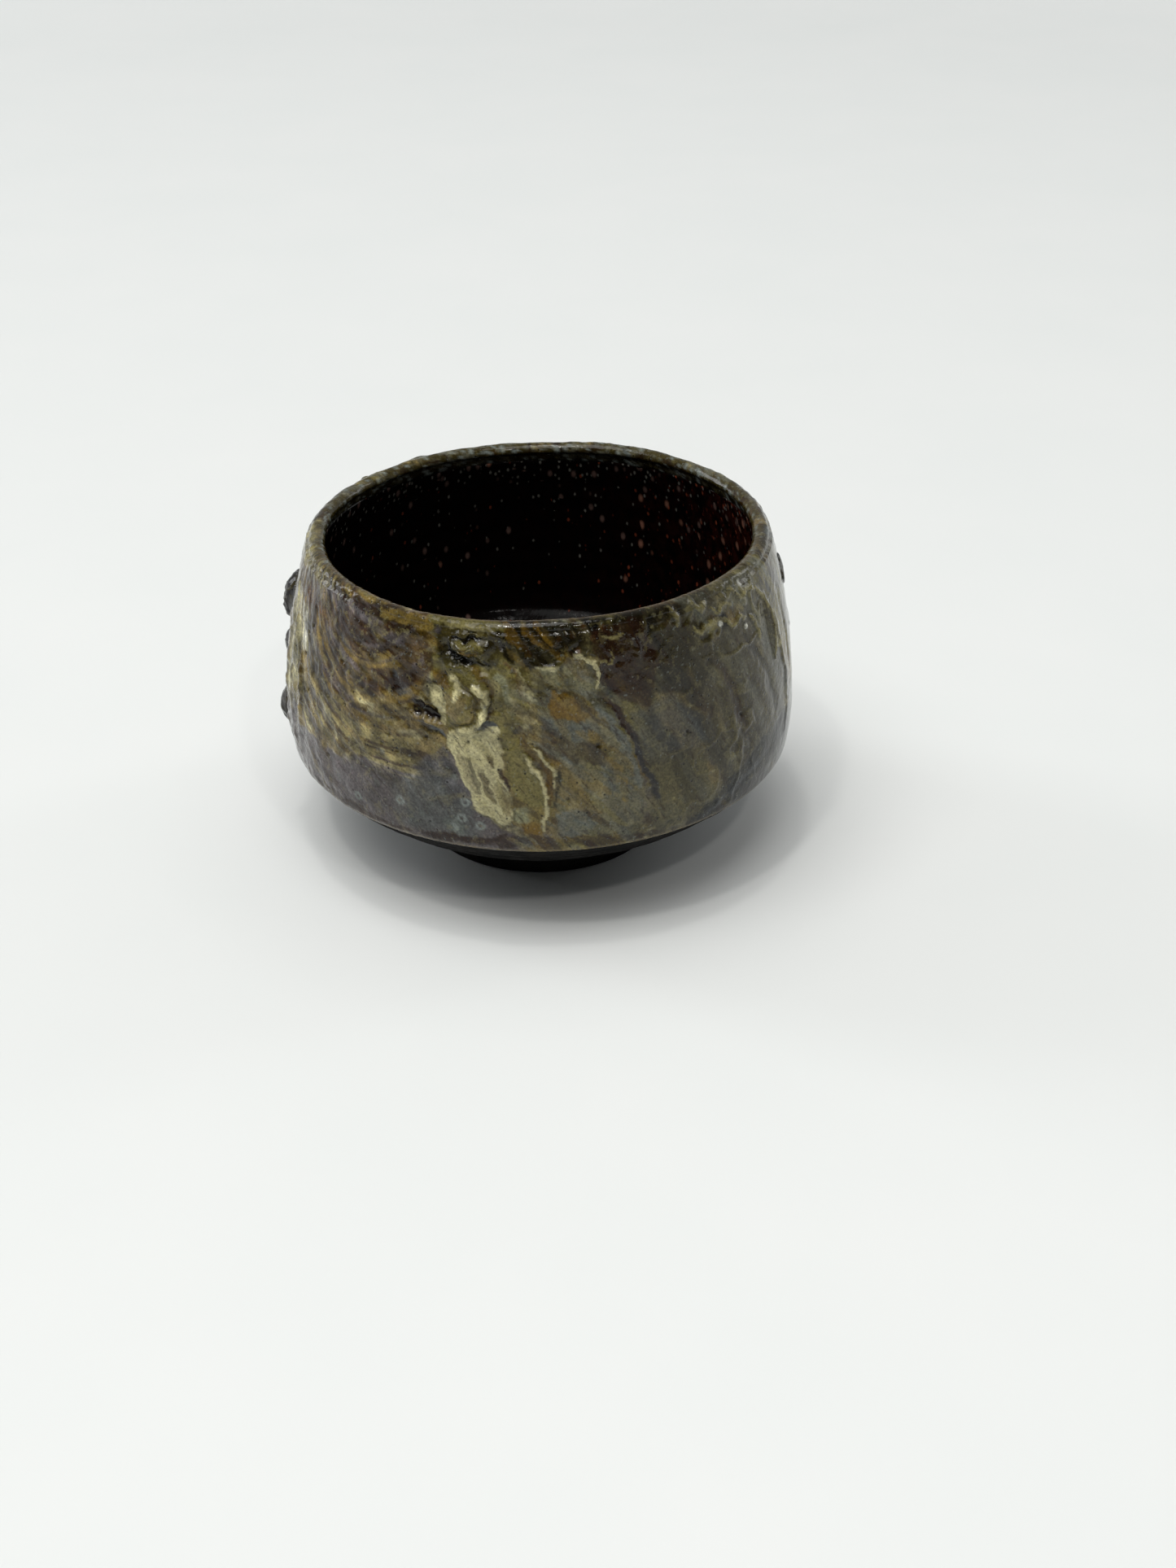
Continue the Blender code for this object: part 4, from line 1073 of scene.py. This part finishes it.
def make_foot():
    """The foot ring: splayed sides, softened corners and a worn, flat resting face."""
    inner = FOOT_RADIUS - FOOT_WIDTH
    outside = np.linspace([FOOT_TOP_RADIUS, FOOT_HEIGHT], [FOOT_RADIUS + 0.4, 0.9], 18)
    outer_corner = arc((FOOT_RADIUS - 0.5, 0.9), 0.9, 0, -90, 8)[1:]
    rest = np.linspace([FOOT_RADIUS - 0.6, 0], [inner + 0.8, 0], 8)[:-1]
    inner_corner = arc((inner + 0.8, 0.8), 0.8, -90, -180, 8)
    inside = np.linspace([inner, 0.9], [inner - 1, FOOT_HEIGHT], 14)[1:]
    top = np.linspace([inner - 1, FOOT_HEIGHT], [FOOT_TOP_RADIUS, FOOT_HEIGHT], 6)[1:-1]
    section = np.concatenate([outside, outer_corner, rest, inner_corner, inside, top])

    def lift(bearing, radius, height):
        points = turned_points(bearing, radius, height)
        rough = 0.3 * (cloud_noise(points, 5, 17) - 0.5) + 0.16 * (cloud_noise(points, 1.1, 18) - 0.5)
        return rough * ramp(height, 0.0, 0.8) * ramp(FOOT_HEIGHT - height, 0, 0.8)

    return turned_solid("luted_foot", section, lift)[0]


# ---------------------------------------------------------------- materials


class Surface:
    """A node material on a Principled shader. Inputs are given as values or as other sockets."""

    def __init__(self, name):
        self.material = bpy.data.materials.new(name)
        self.material.use_nodes = True
        self.tree = self.material.node_tree
        self.shader = self.tree.nodes["Principled BSDF"]

    def add(self, kind, output=0, inputs=None, **settings):
        """A new node with its settings and inputs, as the output socket that is wanted."""
        node = self.tree.nodes.new("ShaderNode" + kind)
        for key, value in settings.items():
            setattr(node, key, value)
        for key, value in (inputs or {}).items():
            self.plug(node.inputs[key], value)
        return node.outputs[output]

    def plug(self, socket, value):
        """Links a socket to another, or sets it to a plain value."""
        if isinstance(value, bpy.types.NodeSocket):
            self.tree.links.new(value, socket)
        else:
            socket.default_value = value

    def finish(self, **inputs):
        """Fills in the shader's own inputs."""
        for key, value in inputs.items():
            self.plug(self.shader.inputs[key.replace("_", " ")], value)
        return self.material

    def attribute(self, name, output="Fac"):
        """A value that is stored on the mesh."""
        return self.add("Attribute", output, attribute_name=name)

    def noise(self, size, detail=3, vector=None, rough=0.55):
        """Noise with features about size millimetres across."""
        where = vector or self.add("TexCoord", "Object")
        settings = {"Vector": where, "Scale": 1 / (size * METRE), "Detail": detail, "Roughness": rough}
        return self.add("TexNoise", "Fac", settings)

    def cells(self, size, output="Distance", vector=None):
        """Cells about size millimetres across, each round its own point."""
        where = vector or self.add("TexCoord", "Object")
        return self.add("TexVoronoi", output, {"Vector": where, "Scale": 1 / (size * METRE)})

    def math(self, operation, a, b=0.0):
        """A sum, product or comparison."""
        return self.add("Math", 0, {0: a, 1: b}, operation=operation)

    def between(self, value, low, high, to_low=0.0, to_high=1.0):
        """A value stretched from one range to another, and held at its ends."""
        limits = {"Value": value, "From Min": low, "From Max": high, "To Min": to_low, "To Max": to_high}
        return self.add("MapRange", 0, limits)

    def mix(self, share, a, b):
        """Colour a with that share of colour b over it."""
        return self.add("Mix", 2, {0: share, 6: a, 7: b}, data_type="RGBA")

    def bump(self, height, distance, normal=None):
        """Fine pitting, distance millimetres deep, over another bump if one is given."""
        inputs = {"Height": height, "Distance": distance * METRE, "Strength": 1.0}
        if normal is not None:
            inputs["Normal"] = normal
        return self.add("Bump", 0, inputs)


def tone(name):
    """A palette colour as a socket value."""
    return (*pigment(name), 1)


def ash_glaze_material(name):
    """The runny ash glaze: painted colour, streaks and grain in it, flecks, pinholes and gloss."""
    s = Surface(name)
    flow = s.attribute("flow", "Vector")
    colour = s.attribute("paint", "Color")
    streaks = s.noise(1.1, 5, flow, 0.62)
    grain = s.noise(0.55, 4)
    broad = s.noise(2.2, 4, None, 0.65)
    streaky, grainy = s.between(streaks, 0.3, 0.7, 0.84, 1.16), s.between(grain, 0.3, 0.7, 0.62, 1.38)
    shade = s.math("MULTIPLY", streaky, grainy)
    colour = s.add("VectorMath", 0, {0: colour, "Scale": shade}, operation="SCALE")
    pale = s.math("MULTIPLY", s.between(broad, 0.56, 0.64), s.attribute("pale"))
    colour = s.mix(s.math("MULTIPLY", pale, 0.5), colour, tone("straw"))
    iron = s.between(s.noise(1.5, 5, flow, 0.7), 0.58, 0.63)
    colour = s.mix(s.math("MULTIPLY", iron, 0.5), colour, tone("umber"))
    grit = s.between(s.noise(0.5, 2), 0.64, 0.7)
    colour = s.mix(s.math("MULTIPLY", grit, 0.55), colour, tone("dark_olive"))
    bloom = s.between(s.noise(0.9, 3), 0.63, 0.7)
    colour = s.mix(s.math("MULTIPLY", bloom, 0.35), colour, tone("sky"))
    hole = s.between(s.cells(1.9), 0.1, 0.17, 1.0, 0.0)
    chosen = s.math("LESS_THAN", s.add("SeparateColor", 0, {0: s.cells(1.9, "Color")}), s.attribute("holes"))
    hole = s.math("MULTIPLY", hole, chosen)
    colour = s.mix(s.math("MULTIPLY", hole, 0.8), colour, tone("black"))
    normal = s.bump(s.math("SUBTRACT", s.noise(0.8, 3), hole), 0.045)
    normal = s.bump(s.noise(2.2, 3), 0.12, normal)
    roughness = s.between(s.noise(3.0, 4), 0.35, 0.65, 0.04, 0.12)
    return s.finish(Base_Color=colour, Roughness=roughness, Normal=normal, Specular_IOR_Level=0.28)


def iron_glaze_material():
    """The black iron glaze: a rust flush and rust specks, thick on the right where the light falls, so partly
    painted light, and frosty ones below the lip.
    """
    s = Surface("iron_glaze")
    where = s.add("Mapping", 0, {"Vector": s.add("TexCoord", "Object"), "Scale": (1, 1, 0.62)})
    rust_flush_and_light = s.math("MULTIPLY", s.between(s.noise(2.4, 5, where, 0.65), 0.42, 0.62), s.attribute("rust"))
    colour = s.mix(rust_flush_and_light, (0.0016, 0.0011, 0.001, 1), (0.026, 0.0045, 0.0028, 1))
    for size, shift, density, hue in (
        (1.1, 3.0, "rust", (0.055, 0.010, 0.005, 1)),
        (1.5, 0.0, "rust", (0.17, 0.038, 0.018, 1)),
        (3.1, 5.0, "rust", (0.20, 0.09, 0.06, 1)),
        (1.3, 9.0, "frost", (0.12, 0.115, 0.10, 1)),
        (2.6, 13.0, "frost", (0.10, 0.06, 0.05, 1)),
    ):
        moved = s.add("VectorMath", 0, {0: where, 1: (shift, 0, 0)}, operation="ADD")
        speck = s.between(s.cells(size, "Distance", moved), 0.13, 0.3, 1.0, 0.0)
        lot = s.add("SeparateColor", 0, {0: s.cells(size, "Color", moved)})
        chosen = s.math("LESS_THAN", lot, s.math("MULTIPLY", s.attribute(density), 0.75))
        colour = s.mix(s.math("MULTIPLY", speck, chosen), colour, hue)
    normal = s.bump(s.noise(1.6, 3), 0.06)
    return s.finish(Base_Color=colour, Roughness=0.17, Normal=normal, Specular_IOR_Level=0.06)


def stoneware_material():
    """Bare fired clay, gritty, with browner patches and paler grains; its near black is partly painted shade,
    for the shadow under the bowl.
    """
    s = Surface("stoneware")
    # kept near black: dark clay, and painted shade for the underside and foot
    dark_clay_and_shade, brown = (0.003, 0.0033, 0.0034, 1), (0.009, 0.008, 0.0072, 1)
    colour = s.mix(s.between(s.noise(7, 5), 0.35, 0.65), dark_clay_and_shade, brown)
    colour = s.mix(s.between(s.noise(0.8, 4), 0.6, 0.7, 0, 0.5), colour, (0.018, 0.016, 0.014, 1))
    colour = s.mix(s.between(s.cells(1.6), 0.08, 0.16, 0.7, 0.0), colour, (0.006, 0.005, 0.0045, 1))
    height = s.math("ADD", s.noise(0.5, 5), s.math("MULTIPLY", s.noise(2.5, 3), 1.5))
    normal = s.bump(height, 0.16)
    roughness = s.between(s.noise(4, 3), 0.35, 0.65, 0.55, 0.8)
    return s.finish(Base_Color=colour, Roughness=roughness, Normal=normal, Specular_IOR_Level=0.05)


# ---------------------------------------------------------------- stage, light and camera


def make_stage():
    """A plain pale floor with a faint glow that grows far off, so that its edge melts into the room, and a
    faint painted glow from just outside the foot outwards that lifts the bowl's cast shadow.
    """
    bpy.ops.mesh.primitive_circle_add(radius=14, vertices=96, fill_type="TRIFAN")
    floor = bpy.context.object
    floor.name = "floor"
    s = Surface("paper")
    colour = s.mix(s.between(s.noise(60, 2), 0.3, 0.7), (0.735, 0.75, 0.74, 1), (0.75, 0.76, 0.75, 1))
    away = s.add("VectorMath", 1, {0: s.add("TexCoord", "Object")}, operation="LENGTH")
    # painted light: the floor glows from 35 to 95 mm off the axis, lightening the cast shadow round the bowl
    near = s.between(away, 0.035, 0.095, 0.0, 0.075)
    painted_glow = s.math("ADD", near, s.between(away, 0.8, 4.0, 0.0, 0.7))
    colour = s.mix(s.between(away, 1.2, 4.5), colour, (0.05, 0.05, 0.05, 1))
    s.finish(Base_Color=colour, Roughness=0.9, Specular_IOR_Level=0.1)
    s.finish(Emission_Color=(0.98, 1.0, 0.985, 1), Emission_Strength=painted_glow)
    floor.data.materials.append(s.material)


def soft_light(name, place, size, power, colour):
    """A rectangular softbox that faces the bowl."""
    data = bpy.data.lights.new(name, "AREA")
    data.shape = "RECTANGLE"
    data.size, data.size_y = size
    data.energy = power
    data.color = colour
    made = bpy.data.objects.new(name, data)
    made.location = place
    aim = Vector((0, 0, 0.04)) - Vector(place)
    made.rotation_euler = aim.to_track_quat("-Z", "Y").to_euler()
    made.visible_camera = False
    bpy.context.scene.collection.objects.link(made)


def make_light():
    """A pale room that is dim at the front, a broad softbox, two side windows, and three small lamps.

    The room's light rises from front (-Y) to back. The small lamps give the glaze its glints.
    """
    world = bpy.data.worlds.new("room")
    world.use_nodes = True
    bpy.context.scene.world = world
    tree = world.node_tree
    background = tree.nodes["Background"]
    direction = tree.nodes.new("ShaderNodeTexCoord").outputs["Generated"]
    split = tree.nodes.new("ShaderNodeSeparateXYZ")
    tree.links.new(direction, split.inputs[0])
    behind = tree.nodes.new("ShaderNodeMapRange")
    tree.links.new(split.outputs["Y"], behind.inputs["Value"])
    behind.inputs["From Min"].default_value = -0.6
    behind.inputs["From Max"].default_value = 0.4
    behind.inputs["To Min"].default_value = 0.05
    behind.inputs["To Max"].default_value = 0.42
    seen = tree.nodes.new("ShaderNodeLightPath").outputs["Is Camera Ray"]
    strength = tree.nodes.new("ShaderNodeMapRange")
    tree.links.new(seen, strength.inputs["Value"])
    tree.links.new(behind.outputs[0], strength.inputs["To Min"])
    strength.inputs["To Max"].default_value = 0.8
    background.inputs["Color"].default_value = (0.97, 1.0, 1.0, 1)
    tree.links.new(strength.outputs[0], background.inputs["Strength"])
    soft_light("ceiling", (-0.6, -0.72, 3.0), (2.6, 2.6), 65.5, (1.0, 0.998, 0.985))
    soft_light("zenith", (-0.15, -0.12, 1.6), (0.1, 0.1), 1.9, (1.0, 0.99, 0.96))
    soft_light("lamp", (-0.35, -0.55, 1.3), (0.08, 0.08), 2.0, (1.0, 0.98, 0.94))
    soft_light("spot", (0.3, -0.9, 1.1), (0.06, 0.06), 1.4, (1.0, 0.98, 0.94))
    soft_light("window", (-2.0, 0.9, 0.9), (0.6, 1.4), 12.0, (0.96, 0.98, 1.0))
    soft_light("door", (2.0, 1.0, 0.9), (0.4, 1.4), 5.0, (0.98, 0.99, 1.0))


def make_camera():
    """Stands 0.51 m in front of the bowl's axis, 0.31 m up, and looks down at the table."""
    data = bpy.data.cameras.new("camera")
    data.lens = 56.05
    data.sensor_width = 36
    made = bpy.data.objects.new("camera", data)
    made.location = (0, -0.508, 0.307)
    made.rotation_euler = (math.radians(90 - 30.53), 0, math.radians(-1.27))
    bpy.context.scene.collection.objects.link(made)
    bpy.context.scene.camera = made


def place_piece(made, material, slot, *nodes):
    """Hands a finished piece to the frame."""
    made.data.materials.append(material)
    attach(made, "root")
    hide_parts(*nodes)


def main():
    make_camera()
    make_stage()
    make_light()
    bpy.context.scene.view_settings.view_transform = "Standard"
    glaze = ash_glaze_material("ash_glaze")
    clay = stoneware_material()
    place_piece(make_body(), clay, "stoneware", "clay_body")
    place_piece(make_foot(), clay, "stoneware", "foot_ring")
    place_piece(make_inner_coat(), iron_glaze_material(), "iron_glaze", "inner_glaze")
    place_piece(make_outer_coat(), glaze, "ash_glaze", "outer_glaze")
    for name in DAUBS:
        place_piece(make_daub(name), glaze, "slip_daub", name)


main()
